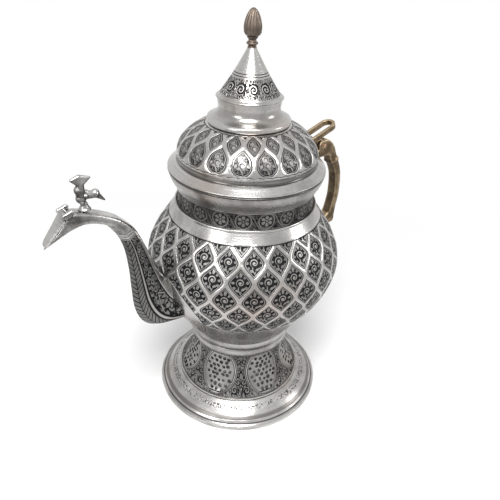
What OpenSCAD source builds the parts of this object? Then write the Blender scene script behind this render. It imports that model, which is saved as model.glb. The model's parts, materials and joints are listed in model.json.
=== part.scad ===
// Dallah coffee pot of beaten and spun copper, tinned bright.
// A pierced pedestal foot, a full belly, a short neck, a swan-neck spout with a hinged flap,
// a cast brass handle and a domed lid that is hinged on the head of the handle.
// The pot stands on z = 0 with its axis on the Z axis.  The spout points along -X.

/* [Foot] */
// Outside diameter of the foot rim
foot_d = 230; // [215:1:250]
// Height of the upright lip of the foot rim
foot_lip_h = 6; // [4:0.5:9]
// Height of the whole foot rim
foot_rim_h = 25; // [21:1:32]
// Width of the flat ring that the foot stands on
foot_land = 8; // [5:0.5:12]
// Diameter at the bottom of the pierced skirt
skirt_base_d = 169; // [155:1:185]
// Diameter at the top of the pierced skirt
skirt_top_d = 126; // [112:1:132]
// Height of the pierced skirt
skirt_h = 61; // [52:1:72]
// Wire thickness of the bead between rim and skirt
foot_bead = 3; // [2:0.25:4]
// Number of pierced medallions round the skirt
medallions = 7; // [4:1:8]
// Width of one medallion
medallion_w = 36; // [24:1:40]
// Diameter of one pierced hole
hole_d = 4.2; // [3:0.2:4.6]
// Distance from hole to hole
hole_pitch = 7.6; // [6.4:0.2:10]
// Height of the collar between skirt and belly
collar_h = 28; // [20:1:36]
// Diameter of the belly's seat on the collar
collar_d = 144; // [136:1:152]

/* [Belly] */
// Largest diameter of the belly
belly_d = 247; // [235:1:262]
// Height of the belly below its widest line
belly_low_h = 103; // [92:1:115]
// Height of the belly above its widest line
belly_up_h = 73; // [64:1:84]
// Thickness of the sheet
wall = 2; // [1.4:0.1:2.6]
// Diameter of one strainer hole behind the spout
strainer_d = 5; // [3:0.5:6]

/* [Neck] */
// Outside diameter of the neck band
neck_d = 171; // [162:1:178]
// Height of the engraved neck band
band_h = 24; // [18:1:32]
// Height of the flare above the band
flare_h = 20; // [15:1:28]
// Outside diameter of the mouth rim
rim_d = 189; // [184:1:198]
// Height of the wired edge of the mouth
rim_h = 2.4; // [1.6:0.2:3.6]
// Wire thickness of the bead at the foot of the neck
neck_bead = 3.6; // [2.4:0.2:4.8]

/* [Lid] */
// Height of the bevelled flange
bevel_h = 8; // [6:0.5:11]
// Height of the step between bevel and dome
step_h = 7.5; // [5:0.5:11]
// Outside diameter of the dome at its foot
dome_d = 167; // [158:1:172]
// Height of the dome above the step
dome_h = 38.5; // [32:0.5:46]
// Depth of the ring that drops into the mouth
plug_h = 13; // [8:1:18]
// Outside diameter of that ring
plug_d = 156; // [146:1:159]
// Diameter of the moulding on top of the dome
crown_d = 97; // [90:1:106]
// Height of the moulding and its waist
crown_h = 27; // [22:1:34]
// Diameter of the waist
waist_d = 71; // [64:1:74]
// How far the foot of the cone stands out over the waist
cone_lip = 3; // [2:0.5:6]
// Height of the cone
cone_h = 52; // [42:1:64]
// Height of the dark collar under the bud
knop_h = 11; // [8:0.5:14]
// Height of the bud
bud_h = 28; // [22:1:34]
// Largest diameter of the bud
bud_d = 21; // [17:0.5:25]
// Number of ribs on the bud
bud_ribs = 12; // [8:1:16]

/* [Spout] */
// Height of the spout's root above the middle of the lower belly
spout_rise = 12.5; // [8:0.5:20]
// How far the spout's lip stands out from the belly
spout_reach = 130; // [122:1:138]
// Height of the arch above the middle of the spout's root
spout_h = 157; // [150:1:163]
// Width of the spout at its root
spout_w = 50; // [44:1:56]
// Thickness of the spout's sheet
spout_wall = 1.7; // [1.4:0.1:2.1]
// Width of the flap at its hinge
flap_w = 19; // [16:0.5:21]
// Length of the flap from its pin
flap_l = 37; // [34:0.5:39]
// Thickness of the flap
flap_t = 2.2; // [1.6:0.1:2.6]
// Diameter of the flap's pin
flap_pin_d = 2.6; // [2:0.1:3]

/* [Bird] */
// Height of the cast bird
bird_h = 38; // [32:1:44]
// Diameter of the bird's stand
bird_foot_d = 13; // [11:0.5:15]

/* [Handle] */
// Distance from the mouth rim to the outside of the handle
handle_reach = 71; // [64:1:80]
// Width of the handle
handle_w = 16; // [15:0.5:19]
// Thickness of the grip
grip_t = 12; // [10:0.5:14]
// Height of the leg that stands on the belly
leg_t = 13; // [10:0.5:16]

/* [Hinge] */
// Distance from the mouth rim to the lid's hinge pin
hinge_reach = 27.5; // [25:0.5:30]
// Diameter of the lid's hinge pin
lid_pin_d = 4; // [3:0.2:4.6]
// Diameter of the lid's knuckle
knuckle_d = 11; // [9.6:0.2:11.6]
// Width of the strap on the lid
strap_w = 8; // [6:0.5:8.5]
// Length of the thumb ring
thumb_l = 52; // [44:1:56]
// Width of the thumb ring
thumb_w = 22; // [18:0.5:25]
// Thickness of the thumb ring's band
thumb_t = 4; // [3:0.25:5]
// Height of the thumb ring's band
thumb_h = 7; // [5:0.5:8]

/* [Clearances] */
// Gap between the lid and the mouth rim
lid_gap = 0.3; // [0.2:0.05:0.6]
// Running clearance of a pin, on the radius
pin_fit = 0.05; // [0.02:0.01:0.1]
// Gap beside a knuckle
knuckle_gap = 0.35; // [0.25:0.05:0.6]
// Gap between the flap and the mouth that it covers
flap_gap = 0.3; // [0.2:0.05:0.5]

/* [Hidden] */
$fn = 96;

// Heights of the seams, from the ground up
z_skirt = foot_rim_h;
z_collar = z_skirt + skirt_h;
z_belly = z_collar + collar_h;
z_wide = z_belly + belly_low_h;
z_neck = z_wide + belly_up_h;
z_flare = z_neck + band_h;
z_wire = z_flare + flare_h;
z_rim = z_wire + rim_h;
z_lid = z_rim + lid_gap;
z_step = z_lid + bevel_h;
z_dome = z_step + step_h;
z_crown = z_dome + dome_h;
z_cone = z_crown + crown_h;
z_knop = z_cone + cone_h;
z_bud = z_knop + knop_h;

foot_r = foot_d / 2;
belly_r = belly_d / 2;
neck_r = neck_d / 2;
rim_r = rim_d / 2;
dome_r = dome_d / 2;
collar_r = collar_d / 2;
cone_r = waist_d/2 + cone_lip;
cone_tip_r = 5;
stud_r = 1.5;

// ---- Curves -------------------------------------------------------------------------------

// Points of a cubic curve from a to d
function bez(a, b, c, d, n = 14) = [for (i = [0:n]) let (t = i / n, u = 1 - t)
    u*u*u*a + 3*u*u*t*b + 3*u*t*t*c + t*t*t*d];

function rev(p) = [for (i = [len(p) - 1:-1:0]) p[i]];

// Direction of a list of points at point i
function dir_at(p, i) = let (v = p[min(i + 1, len(p) - 1)] - p[max(i - 1, 0)]) v / norm(v);

// The same outline moved inwards by t: its two ends stay at their height
function inset(p, t) = [for (i = [0:len(p) - 1]) let (d = dir_at(p, i))
    (i == 0 || i == len(p) - 1)
        ? [p[i][0] - t / max(abs(d[1]), 0.45), p[i][1]]
        : p[i] + t * [-d[1], d[0]]];

// A spun sheet: outline p, going upwards, and thickness t
module spun(p, t) {
    rotate_extrude() polygon(concat(p, rev(inset(p, t))));
}

// Catmull-Rom value between b and c
function spline4(a, b, c, d, t) = 0.5 * (2*b + (c - a)*t + (2*a - 5*b + 4*c - d)*t*t
    + (3*b - a - 3*c + d)*t*t*t);

// A smooth list of values through p, with n steps between two of them
function smooth(p, n) = [for (i = [0:len(p) - 2], k = [0:n - 1])
    spline4(p[max(i - 1, 0)], p[i], p[i + 1], p[min(i + 2, len(p) - 1)], k / n),
    p[len(p) - 1]];

// A loft through rings that all have the same number of points
module loft(rings) {
    m = len(rings[0]);
    last = (len(rings) - 1) * m;
    side = [for (i = [0:len(rings) - 2], j = [0:m - 1]) let (k = (j + 1) % m)
        each [[i*m + j, i*m + k, (i + 1)*m + k], [i*m + j, (i + 1)*m + k, (i + 1)*m + j]]];
    polyhedron(
        points = [for (r = rings) each r],
        faces = concat([[for (j = [m - 1:-1:0]) j]], side, [[for (j = [0:m - 1]) last + j]]),
        convexity = 6);
}

// ---- Outlines of the spun pieces ------------------------------------------------------------

bead_seat_h = foot_bead + 0.5;
rim_line = concat(
    [[foot_r, 0], [foot_r, foot_lip_h - 1.5], [foot_r - 0.6, foot_lip_h - 0.4],
     [foot_r - 3, foot_lip_h + 0.6]],
    bez([foot_r - 4.5, foot_lip_h + 1.6], [foot_r - 10, foot_lip_h + 8],
        [foot_r - 20, foot_rim_h - 4], [skirt_base_d/2 + foot_bead, foot_rim_h], 10));
skirt_line = concat(
    [[skirt_base_d/2, z_skirt]],
    bez([skirt_base_d/2, z_skirt + bead_seat_h], [skirt_base_d/2 - 11, z_skirt + skirt_h*0.24],
        [skirt_top_d/2 + 1.5, z_collar - skirt_h*0.4], [skirt_top_d/2, z_collar], 5));
collar_low = bez([skirt_top_d/2 + 2, z_collar], [skirt_top_d/2 + 6, z_collar + collar_h*0.12],
    [skirt_top_d/2 + 6.5, z_collar + collar_h*0.42], [skirt_top_d/2 + 3.5, z_collar + collar_h*0.5], 8);
collar_up = bez([skirt_top_d/2 + 4.5, z_collar + collar_h*0.56],
    [skirt_top_d/2 + 9, z_collar + collar_h*0.66], [collar_r, z_belly - collar_h*0.2],
    [collar_r, z_belly], 8);
belly_low = bez([collar_r, z_belly], [collar_r + 9, z_belly + belly_low_h*0.165],
    [belly_r, z_wide - belly_low_h*0.38], [belly_r, z_wide], 18);
shoulder_r = neck_r + 1.5;
belly_up = bez([belly_r, z_wide], [belly_r, z_wide + belly_up_h*0.41],
    [shoulder_r + 13, z_neck - belly_up_h*0.3], [shoulder_r, z_neck], 16);
belly_line = concat(belly_low, [for (i = [1:16]) belly_up[i]]);
neck_line = concat([[neck_r, z_neck]], bez([neck_r, z_flare], [neck_r + 2, z_flare + flare_h*0.3],
    [rim_r - 2, z_flare + flare_h*0.5], [rim_r - 0.6, z_wire], 10));
dome_tilt = asin((crown_d/2 - 5) / dome_r);
dome_line = [for (i = [0:14]) let (a = 90 - (90 - dome_tilt) * i / 14)
    [dome_r * sin(a), z_dome + dome_h * cos(a) / cos(dome_tilt)]];

// Radius of the belly's outside at height z
function belly_at(z) = lookup(z, [for (p = belly_line) [p[1], p[0]]]);
// Radius of the neck's outside at height z
function neck_at(z) = lookup(z, [for (p = neck_line) [p[1], p[0]]]);
// Radius of the skirt's outside at height z
function skirt_at(z) = lookup(z, [for (p = skirt_line) [p[1], p[0]]]);

// The solid that the belly's outside encloses: what stands on the belly is trimmed by it
module belly_core() {
    rotate_extrude() polygon(concat([[0, z_belly]], belly_line, [[0, z_neck]]));
}

// The solid that the neck and its wired edge enclose
module neck_core() {
    rotate_extrude() polygon(concat([[0, z_neck]], neck_line,
        [[rim_r, z_wire], [rim_r, z_rim], [0, z_rim]]));
}

// ---- Foot -----------------------------------------------------------------------------------

module foot_rim() {
    color("gainsboro") rotate_extrude() polygon(concat(rim_line,
        [[skirt_base_d/2 - wall, foot_rim_h]],
        [for (i = [len(rim_line) - 3:-1:4]) rim_line[i] - [wall*0.6, wall]],
        [[foot_r - foot_land, foot_lip_h - wall], [foot_r - foot_land, 0]]));
}

module foot_bead() {
    color("white") translate([0, 0, z_skirt]) rotate_extrude()
        translate([skirt_base_d/2, 0]) intersection() {
            translate([0, foot_bead/2]) circle(d = foot_bead*1.35, $fn = 40);
            square([foot_bead, foot_bead]);
        }
}

// Half width of a medallion at height u, 0 at its lower tip and 1 at its top edge
function drop_half(u) = medallion_w/2 * sqrt(max(0, sin(180 * pow(u * 0.86, 0.8))));

med_z0 = z_skirt + skirt_h * 0.14;
med_z1 = z_collar - skirt_h * 0.06;
hole_rows = floor((med_z1 - med_z0 - hole_d) / (hole_pitch * 0.87));

module pierced_holes() {
    for (m = [0:medallions - 1], row = [0:hole_rows]) {
        z = med_z0 + hole_d/2 + row * hole_pitch * 0.87;
        half = drop_half((z - med_z0) / (med_z1 - med_z0)) - hole_d * 0.6;
        n = max(0, floor(2 * half / hole_pitch));
        shift = n * hole_pitch / 2;
        r = skirt_at(z);
        if (half > 0 && z + hole_d < z_collar)
            for (i = [0:n]) rotate([0, 0, m * 360/medallions
                    + (i * hole_pitch - shift) / r * 180/PI])
                translate([r - 8, 0, z]) rotate([0, 90, 0])
                    cylinder(d = hole_d, h = 14, $fn = 6);
    }
}

module foot_skirt() {
    color("dimgray") difference() {
        spun(skirt_line, wall);
        pierced_holes();
    }
}

module foot_collar() {
    bore = skirt_top_d/2 - wall;
    color("gainsboro") rotate_extrude() polygon(concat(collar_low, collar_up,
        [[collar_r - 7, z_belly], [bore + 1, z_belly - collar_h*0.3], [bore, z_collar]]));
}

// ---- Belly and neck -------------------------------------------------------------------------

spout_z = z_belly + belly_low_h/2 + spout_rise;   // middle of the spout's root
strainer_pitch = strainer_d * 1.7;

module strainer_holes() {
    for (row = [-2:2], k = [-2:2]) {
        y = (k + (abs(row) % 2) / 2) * strainer_pitch;
        if (norm([y, row * strainer_pitch * 0.87]) < strainer_pitch * 2.2)
            translate([-belly_r - 5, y, spout_z - 3 + row * strainer_pitch * 0.87])
                rotate([0, 90, 0]) cylinder(d = strainer_d, h = belly_r/2, $fn = 24);
    }
}

module belly() {
    inner = inset(belly_line, wall);
    color("silver") difference() {
        rotate_extrude() polygon(concat([[0, z_belly]], belly_line,
            [for (i = [len(inner) - 1:-1:1]) inner[i]], [[0, z_belly + wall]]));
        strainer_holes();
        leg_rivets(rivet_d);
    }
}

module neck_bead() {
    color("white") translate([0, 0, z_neck]) rotate_extrude()
        translate([neck_r, 0]) intersection() {
            translate([0, neck_bead/2]) circle(d = neck_bead*1.3, $fn = 40);
            square([neck_bead, neck_bead]);
        }
}

module neck() {
    color("silver") difference() {
        spun(neck_line, wall);
        arm_rivets(rivet_d);
    }
}

module mouth_wire() {
    inner = rim_r - 0.6 - wall;
    color("white") translate([0, 0, z_wire]) rotate_extrude() polygon(concat(
        [[inner, 0]],
        [for (a = [-90:22.5:90]) [rim_r - rim_h/2*(1 - cos(a)), rim_h/2*(1 + sin(a))]],
        [[inner, rim_h]]));
}

// ---- Spout ----------------------------------------------------------------------------------
// The spout is a loft between its back edge, next to the belly, and its keel.
// A rib is [back x, back z, keel x, keel z, width], from the belly's side and the root's middle.
spout_ribs = [
    [-36, 22, -36, -25, 50],
    [-13, 22, -11, -26, 48],
    [-6, 34, 11, -25, 45],
    [-2, 44, 27, -12, 40],
    [3, 56, 35.5, 11, 34],
    [9, 70, 37.5, 41, 29],
    [17, 89, 38.5, 69, 26],
    [24, 107, 42, 97, 24],
    [32, 123, 49, 116, 22],
    [45, 136, 58, 129, 20.5],
    [64, 147, 70, 135, 19.5],
    [82, 153.5, 84, 137.5, 19],
    [98, 157, 99, 133, 18.5],
    [116, 152, 112, 127, 16.5],
    [130, 140, 125, 121, 13]
];
stem_ribs = 8;                         // the sheet stem ends on this rib
rib_steps = 2;

// A drawn point of the spout, [from the belly's side, up from the root], at the spout's size
function sized(p) = [
    p[0] * spout_reach / max([for (q = spout_ribs) q[0]]),
    p[1] * spout_h / max([for (q = spout_ribs) q[1]])];
// The same point in the pot's frame, seen from the side
function spout_point(p) = [-belly_r - sized(p)[0], spout_z + sized(p)[1]];

// Outline of the spout across one rib: keel, two flanks, two shoulders and a flat back.
// Each point is [share of the half width, share of the depth from back to keel].
spout_outline = [
    [0, 1], [0.5, 0.87], [0.92, 0.7], [1, 0.6], [0.98, 0.3], [0.9, 0.12], [0.62, 0.01],
    [-0.62, 0.01], [-0.9, 0.12], [-0.98, 0.3], [-1, 0.6], [-0.92, 0.7], [-0.5, 0.87]
];

// One ring: back point a, keel point b, width w, all walls moved in by t
function spout_ring(a, b, w, t) = let (d = b - a, n = norm(d), e = d / n)
    [for (q = spout_outline) let (p = a + e * (t + (n - 2.2*t) * q[1]))
        [p[0], q[0] * (w/2 - t), p[1]]];

function spout_rings(from, to, t) = let (
        r = smooth([for (k = [from:to]) spout_ribs[k]], rib_steps))
    [for (q = r) spout_ring(spout_point([q[0], q[1]]), spout_point([q[2], q[3]]),
        q[4] * spout_w / spout_ribs[0][4], t)];

// Plane of the pouring mouth, from its heel to its tip, seen from the side
mouth_heel = spout_point([98.5, 154]);
mouth_tip = spout_point([123.5, 124]);
mouth_slope = atan2(mouth_heel[1] - mouth_tip[1], mouth_heel[0] - mouth_tip[0]);
flap_knuckle_r = flap_pin_d/2 + 1.7;
flap_pin_lift = flap_knuckle_r + flap_gap;

// Places children in the flap's frame: pin at the origin, plate along -X, outside upwards
module at_flap() {
    translate([mouth_heel[0], 0, mouth_heel[1]]) rotate([0, -mouth_slope, 0])
        translate([-1.5, 0, flap_pin_lift]) children();
}

knuckle_l = flap_w * 0.55;
lug_l = (flap_w - knuckle_l) / 2 - knuckle_gap;

module spout_stem() {
    color("slategray") difference() {
        loft(spout_rings(0, stem_ribs, 0));
        loft(run_out(rev(run_out(rev(spout_rings(0, stem_ribs, spout_wall))))));
        belly_core();
    }
}

// Rings of a hollow, run out a little past its last ring so that it opens the end
function run_out(rings) = let (n = len(rings) - 1)
    concat(rings, [[for (j = [0:len(rings[0]) - 1]) rings[n][j] * 1.15 - rings[n - 1][j] * 0.15]]);

// All rings but the last: the hollow stops short of the lip
function short(rings) = [for (i = [0:len(rings) - 2]) rings[i]];

module spout_beak() {
    color("gainsboro") difference() {
        union() {
            difference() {
                loft(spout_rings(stem_ribs, len(spout_ribs) - 1, 0));
                at_flap() translate([-60, -30, -flap_pin_lift]) cube([61.5, 60, 40]);
            }
            for (s = [-1, 1]) at_flap() translate([0, s * (knuckle_l + 2*knuckle_gap + lug_l)/2, 0])
                rotate([90, 0, 0]) linear_extrude(lug_l, center = true) {
                    circle(r = flap_knuckle_r, $fn = 40);
                    polygon([[0.4, flap_knuckle_r - 0.2], [flap_knuckle_r + 6, -flap_pin_lift + 1.3],
                        [flap_knuckle_r + 6, -flap_pin_lift - 2], [3.1, -flap_pin_lift - 2],
                        [-0.4, 0.3 - flap_knuckle_r]]);
                }
        }
        loft(rev(run_out(rev(short(spout_rings(stem_ribs, len(spout_ribs) - 1, spout_wall))))));
        at_flap() rotate([90, 0, 0]) {
            cylinder(r = flap_knuckle_r + knuckle_gap, h = knuckle_l + 2*knuckle_gap,
                center = true, $fn = 40);
            cylinder(d = flap_pin_d + 2*pin_fit, h = 2*flap_w, center = true, $fn = 32);
        }
        translate([bird_seat[0], 0, bird_seat[1]]) {
            bird_peg();
            cylinder(d = bird_foot_d + 2*bird_gap, h = bird_foot_d, $fn = 40);
        }
    }
}

module spout_flap() {
    tip_r = flap_w * 0.31;
    color("white") at_flap() difference() {
        union() {
            rotate([90, 0, 0]) cylinder(r = flap_knuckle_r, h = knuckle_l, center = true, $fn = 40);
            translate([0, 0, -flap_knuckle_r]) linear_extrude(flap_t) union() {
                polygon([[-flap_knuckle_r*0.6, knuckle_l/2], [-flap_knuckle_r - 0.6, knuckle_l/2],
                    [-flap_knuckle_r - 0.6, flap_w/2], [-flap_l + tip_r, tip_r],
                    [-flap_l + tip_r, -tip_r], [-flap_knuckle_r - 0.6, -flap_w/2],
                    [-flap_knuckle_r - 0.6, -knuckle_l/2], [-flap_knuckle_r*0.6, -knuckle_l/2]]);
                translate([-flap_l + tip_r, 0]) circle(r = tip_r, $fn = 40);
            }
        }
        rotate([90, 0, 0]) cylinder(d = flap_pin_d + 2*pin_fit, h = 2*flap_w, center = true, $fn = 32);
    }
}

module flap_pin() {
    color("dimgray") at_flap() rotate([90, 0, 0])
        cylinder(d = flap_pin_d, h = flap_w + 0.8, center = true, $fn = 32);
}

// ---- Bird on the arch of the spout ------------------------------------------------------------

bird_seat = spout_point([79, 153.6]);
bird_peg_r = 1.5;
bird_peg_h = 4;
bird_gap = 0.3;                        // between the stand and its flat seat on the arch

// The peg under the bird's stand, which fits its hole in the arch
module bird_peg() {
    translate([0, 0, 0.5 - bird_peg_h]) cylinder(r = bird_peg_r, h = bird_peg_h, $fn = 24);
}

// A tapered limb between two balls
module limb(a, ra, b, rb) {
    hull() {
        translate(a) sphere(r = ra, $fn = 16);
        translate(b) sphere(r = rb, $fn = 16);
    }
}

module bird() {
    k = bird_h / 38;
    stand_r = bird_foot_d / 2;
    tail = [-1.5, 0, 29] * k;
    color("silver") translate([bird_seat[0], 0, bird_seat[1]]) {
        bird_peg();
        translate([0, 0, bird_gap]) rotate_extrude($fn = 40) polygon([[0, 0], [stand_r, 0],
            [stand_r, 1.2], [stand_r*0.8, 2.4*k], [stand_r*0.58, 5.5*k], [stand_r*0.52, 8*k],
            [0, 9*k]]);
        limb([-1.5, 0, 11] * k, 4*k, [-2.6, 0, 19] * k, 4.9*k);
        limb([-2.6, 0, 19] * k, 4.9*k, tail, 4*k);
        // spread tail
        hull() {
            translate(tail) sphere(r = 4*k, $fn = 16);
            translate([-9.6, 0, 33.4] * k) sphere(r = 1.7*k, $fn = 16);
            translate([-2, 0, 35.4] * k) sphere(r = 2.6*k, $fn = 16);
            translate([8.8, 0, 33.2] * k) sphere(r = 1.1*k, $fn = 16);
        }
        // neck, head and bill
        limb([-1, 0, 16] * k, 4.6*k, [12, 0, 14.4] * k, 4.1*k);
        limb([12, 0, 14.4] * k, 4.1*k, [14.4, 0, 12.6] * k, 3.2*k);
        limb([14.4, 0, 12.6] * k, 3.2*k, [21.6, 0, 5.4] * k, 0.9*k);
    }
}

// ---- Handle and the lid's hinge -----------------------------------------------------------------

hinge = [rim_r + hinge_reach, z_rim + 3.6];
grip_x = rim_r + handle_reach;          // outside of the grip at its furthest
strap_gap = strap_w + 2*knuckle_gap;
leg_z = z_wide - 3;                     // underside of the leg on the belly
grip_top = z_rim - 3;
grip_h = grip_top - leg_z;

// A rib is [share of the reach inwards, share of the height, thickness, direction of the
// thickness in degrees], from the head down to the leg.
grip_ribs = [
    [0.289, 1.008, grip_t*1.25, 212],
    [0.218, 0.908, grip_t*1.2, 206],
    [0.12, 0.799, grip_t*1.1, 200],
    [0.035, 0.665, grip_t*1.02, 190],
    [0, 0.506, grip_t, 183],
    [0, 0.358, grip_t*0.98, 178],
    [0.035, 0.226, grip_t, 168],
    [0.049, 0.1, grip_t*1.3, 150],
    [0.063, 0, leg_t*1.75, 131],
    [0.366, -0.008, leg_t*1.05, 104],
    [0.986, -0.008, leg_t, 90]
];

// Outline across the handle: [share of the half width, share of the thickness from the outside]
grip_outline = [[0.45, 0], [0.82, 0.12], [1, 0.45], [0.9, 0.92], [0.72, 1],
    [-0.72, 1], [-0.9, 0.92], [-1, 0.45], [-0.82, 0.12], [-0.45, 0]];

function grip_ring(q, grow = 0) = let (e = [cos(q[3]), sin(q[3])])
    [for (g = grip_outline)
        let (p = [grip_x - q[0] * handle_reach, leg_z + q[1] * grip_h]
            + e * (g[1] * (q[2] + 2*grow) - grow))
        [p[0], g[0] * (handle_w/2 + grow), p[1]]];

// Outline of the handle's head and its arm to the neck, seen from the side
head_outline = [
    [rim_r - 12, z_rim - 14.5], [rim_r - 12, z_rim - 2.8], [hinge[0] - 9, z_rim - 2.8],
    [hinge[0] - 9, hinge[1] + 1], [hinge[0] - 5.5, hinge[1] + 5.6], [hinge[0] + 2, hinge[1] + 6.8],
    [hinge[0] + 9, hinge[1] + 5.4], [hinge[0] + 15.5, hinge[1]], [hinge[0] + 21, hinge[1] - 8],
    [hinge[0] + 16, hinge[1] - 18], [hinge[0] + 6, hinge[1] - 15.5]
];

module handle_raw() {
    difference() {
        loft([for (q = smooth(grip_ribs, 2)) grip_ring(q)]);
        belly_core();
    }
    collar = smooth(grip_ribs, 4);
    loft([grip_ring(collar[5], 0.2), grip_ring(collar[6], 1.5), grip_ring(collar[7], 0.2)]);
    difference() {
        rotate([90, 0, 0]) linear_extrude(handle_w, center = true) polygon(head_outline);
        neck_core();
    }
}

module handle() {
    color("tan") difference() {
        handle_raw();
        // slot for the lid's knuckle and strap
        translate([rim_r - 14, -strap_gap/2, z_rim - 2.8])
            cube([hinge_reach + 14 + knuckle_d/2 + 0.6, strap_gap, 30]);
        translate([hinge[0], 0, hinge[1]]) rotate([90, 0, 0])
            cylinder(d = knuckle_d + 1.2, h = strap_gap, center = true, $fn = 48);
        translate([hinge[0], 0, hinge[1]]) rotate([90, 0, 0])
            cylinder(d = lid_pin_d + 2*pin_fit, h = 60, center = true, $fn = 32);
        leg_rivets(rivet_d);
        arm_rivets(rivet_d);
    }
}

// Rivets: two through the leg and two through the arm, clenched on the inside of the sheet
rivet_d = 2.6;
rivet_head_d = 5;
rivet_head_h = 1.8;
leg_rivet_z = leg_z + leg_t * 0.45;
arm_rivet_z = z_rim - 9.5;

// One rivet of the pair at radius r: a shank outwards from the sheet and a head behind it
module rivet_at(r, y, z, d, shank) {
    translate([r - wall*1.4 - rivet_head_h, y, z]) rotate([0, 90, 0])
        cylinder(d = d, h = wall*1.4 + rivet_head_h + shank, $fn = 24);
}

module leg_rivets(d) {
    for (s = [-1, 1]) rivet_at(belly_at(leg_rivet_z), s * handle_w * 0.25, leg_rivet_z, d, 8);
}

module arm_rivets(d) {
    for (s = [-1, 1]) rivet_at(neck_at(arm_rivet_z), s * handle_w * 0.33, arm_rivet_z, d, 7);
}

module handle_rivets() {
    color("peru") {
        leg_rivets(rivet_d);
        arm_rivets(rivet_d);
        difference() {
            intersection() {
                leg_rivets(rivet_head_d);
                belly_core();
            }
            spun(belly_line, wall);
        }
        difference() {
            intersection() {
                arm_rivets(rivet_head_d);
                neck_core();
            }
            spun(neck_line, wall);
        }
    }
}

module lid_pin() {
    color("peru") translate([hinge[0], 0, hinge[1]]) rotate([90, 0, 0])
        cylinder(d = lid_pin_d, h = handle_w + 1.2, center = true, $fn = 32);
}

// ---- Lid ----------------------------------------------------------------------------------------

bevel_top_r = dome_r + 1;
flange_line = concat(
    [[rim_r - 0.8, z_lid], [rim_r, z_lid + 0.8], [rim_r - 0.3, z_lid + 1.8],
     [bevel_top_r + 0.6, z_step], [bevel_top_r, z_step + 0.3]],
    bez([bevel_top_r - 1.4, z_step + 0.5], [bevel_top_r - 2.8, z_step + step_h*0.3],
        [dome_r - 1.8, z_dome - step_h*0.4], [dome_r, z_dome], 6));

// The solid that the flange encloses: the strap on it is trimmed by it
module lid_core() {
    rotate_extrude() polygon(concat([[0, z_lid]], flange_line, [[0, z_dome]]));
}

module lid_flange() {
    color("white") difference() {
        rotate_extrude() polygon(concat([[plug_d/2 - wall, z_lid]], flange_line,
            [[dome_r - wall, z_dome], [dome_r - wall - 2, z_step],
             [bevel_top_r - wall - 3, z_lid + wall], [plug_d/2 - wall, z_lid + wall]]));
        strap_rivet_set(rivet_d);
    }
}

module lid_dome() {
    inner = inset(dome_line, wall);
    top = dome_line[14];
    color("silver") rotate_extrude() polygon(concat(dome_line,
        [top - [wall, 0], inner[13] - [0, 0.4]],
        [for (i = [12:-1:1]) inner[i]], [[dome_r - wall, z_dome]]));
}

module lid_plug() {
    color("silver") translate([0, 0, z_lid - plug_h]) rotate_extrude() polygon([
        [plug_d/2 - wall, 0], [plug_d/2 - 0.6, 0], [plug_d/2, 0.6], [plug_d/2, plug_h],
        [plug_d/2 - wall, plug_h]]);
}

module crown_moulding() {
    seat_r = dome_line[14][0];
    color("gainsboro") rotate_extrude() polygon(concat(
        [[seat_r - wall, z_crown], [seat_r, z_crown], [crown_d/2 - 0.8, z_crown - 0.6],
         [crown_d/2, z_crown + 0.4]],
        [for (a = [0:22.5:90]) [crown_d/2 - 2.4*(1 - cos(a)), z_crown + crown_h*0.11 + 2.4*sin(a)]],
        bez([crown_d/2 - 5, z_crown + crown_h*0.24], [waist_d/2 + 2, z_crown + crown_h*0.34],
            [waist_d/2, z_crown + crown_h*0.45], [waist_d/2, z_crown + crown_h*0.62], 8),
        [[cone_r - 1.6, z_cone - 1.2], [cone_r - 1.6, z_cone], [waist_d/2 - wall, z_cone],
         [waist_d/2 - wall, z_crown + crown_h*0.5]],
        [[seat_r - wall, z_crown + crown_h*0.1]]));
}

module cone() {
    side = bez([cone_r - 3, z_cone + 2.6], [cone_r - 12, z_cone + cone_h*0.27],
        [cone_tip_r + 9, z_knop - cone_h*0.33], [cone_tip_r, z_knop], 12);
    low_r = waist_d/2 - wall;
    color("gainsboro") rotate_extrude() polygon(concat(
        [[low_r, z_cone], [cone_r - 0.8, z_cone], [cone_r, z_cone + 0.9], [cone_r - 0.8, z_cone + 1.8]],
        side, [[stud_r, z_knop], [stud_r, z_knop - 4]],
        [for (i = [11:-1:1]) side[i] - [wall*0.85 + 0.3, wall*0.55]]));
}

module knop_collar() {
    h = knop_h;
    color("dimgray") translate([0, 0, z_knop]) rotate_extrude($fn = 64) polygon(concat(
        [[stud_r, 0], [cone_tip_r, 0], [cone_tip_r, h*0.1], [4.1, h*0.18]],
        [for (a = [-90:30:90]) [5.1 + 1.3*cos(a), h*0.42 + h*0.13*sin(a)]],
        [[4.4, h*0.62], [4.3, h*0.74], [6, h*0.96], [6, h], [stud_r, h]]));
}

// Radius of the bud at share u of its height
function bud_at(u) = bud_d/2 * sqrt(sin(180 * pow(u, 0.62)));
bud_n = bud_ribs * 4;

module bud() {
    rings = [for (i = [0:14]) let (u = 0.02 + 0.97 * i / 14)
        [for (j = [0:bud_n - 1]) let (a = 360 * j / bud_n, groove = 1 - abs(cos(a * bud_ribs / 2)),
                r = bud_at(u) * (1 - 0.07 * groove))
            [r * cos(a), r * sin(a), z_bud + bud_h * i / 14]]];
    color("dimgray") difference() {
        loft(rings);
        translate([0, 0, z_bud - 1]) cylinder(r = stud_r, h = bud_h*0.5 + 1, $fn = 24);
    }
}

module finial_stud() {
    color("peru") translate([0, 0, z_knop - 8]) {
        cylinder(r = stud_r, h = 8 + knop_h + bud_h*0.5, $fn = 24);
        cylinder(r = stud_r + 1, h = 2.4, $fn = 6);
    }
}

// ---- Thumb ring, cast in one with the lid's strap ---------------------------------------------------

thumb_tilt = 20;
thumb_mid = [hinge[0] - 6.5, hinge[1] + 17.4];

module stadium(l, w) {
    square([l - w, w], center = true);
    for (s = [-1, 1]) translate([s * (l - w)/2, 0]) circle(d = w, $fn = 64);
}

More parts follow.
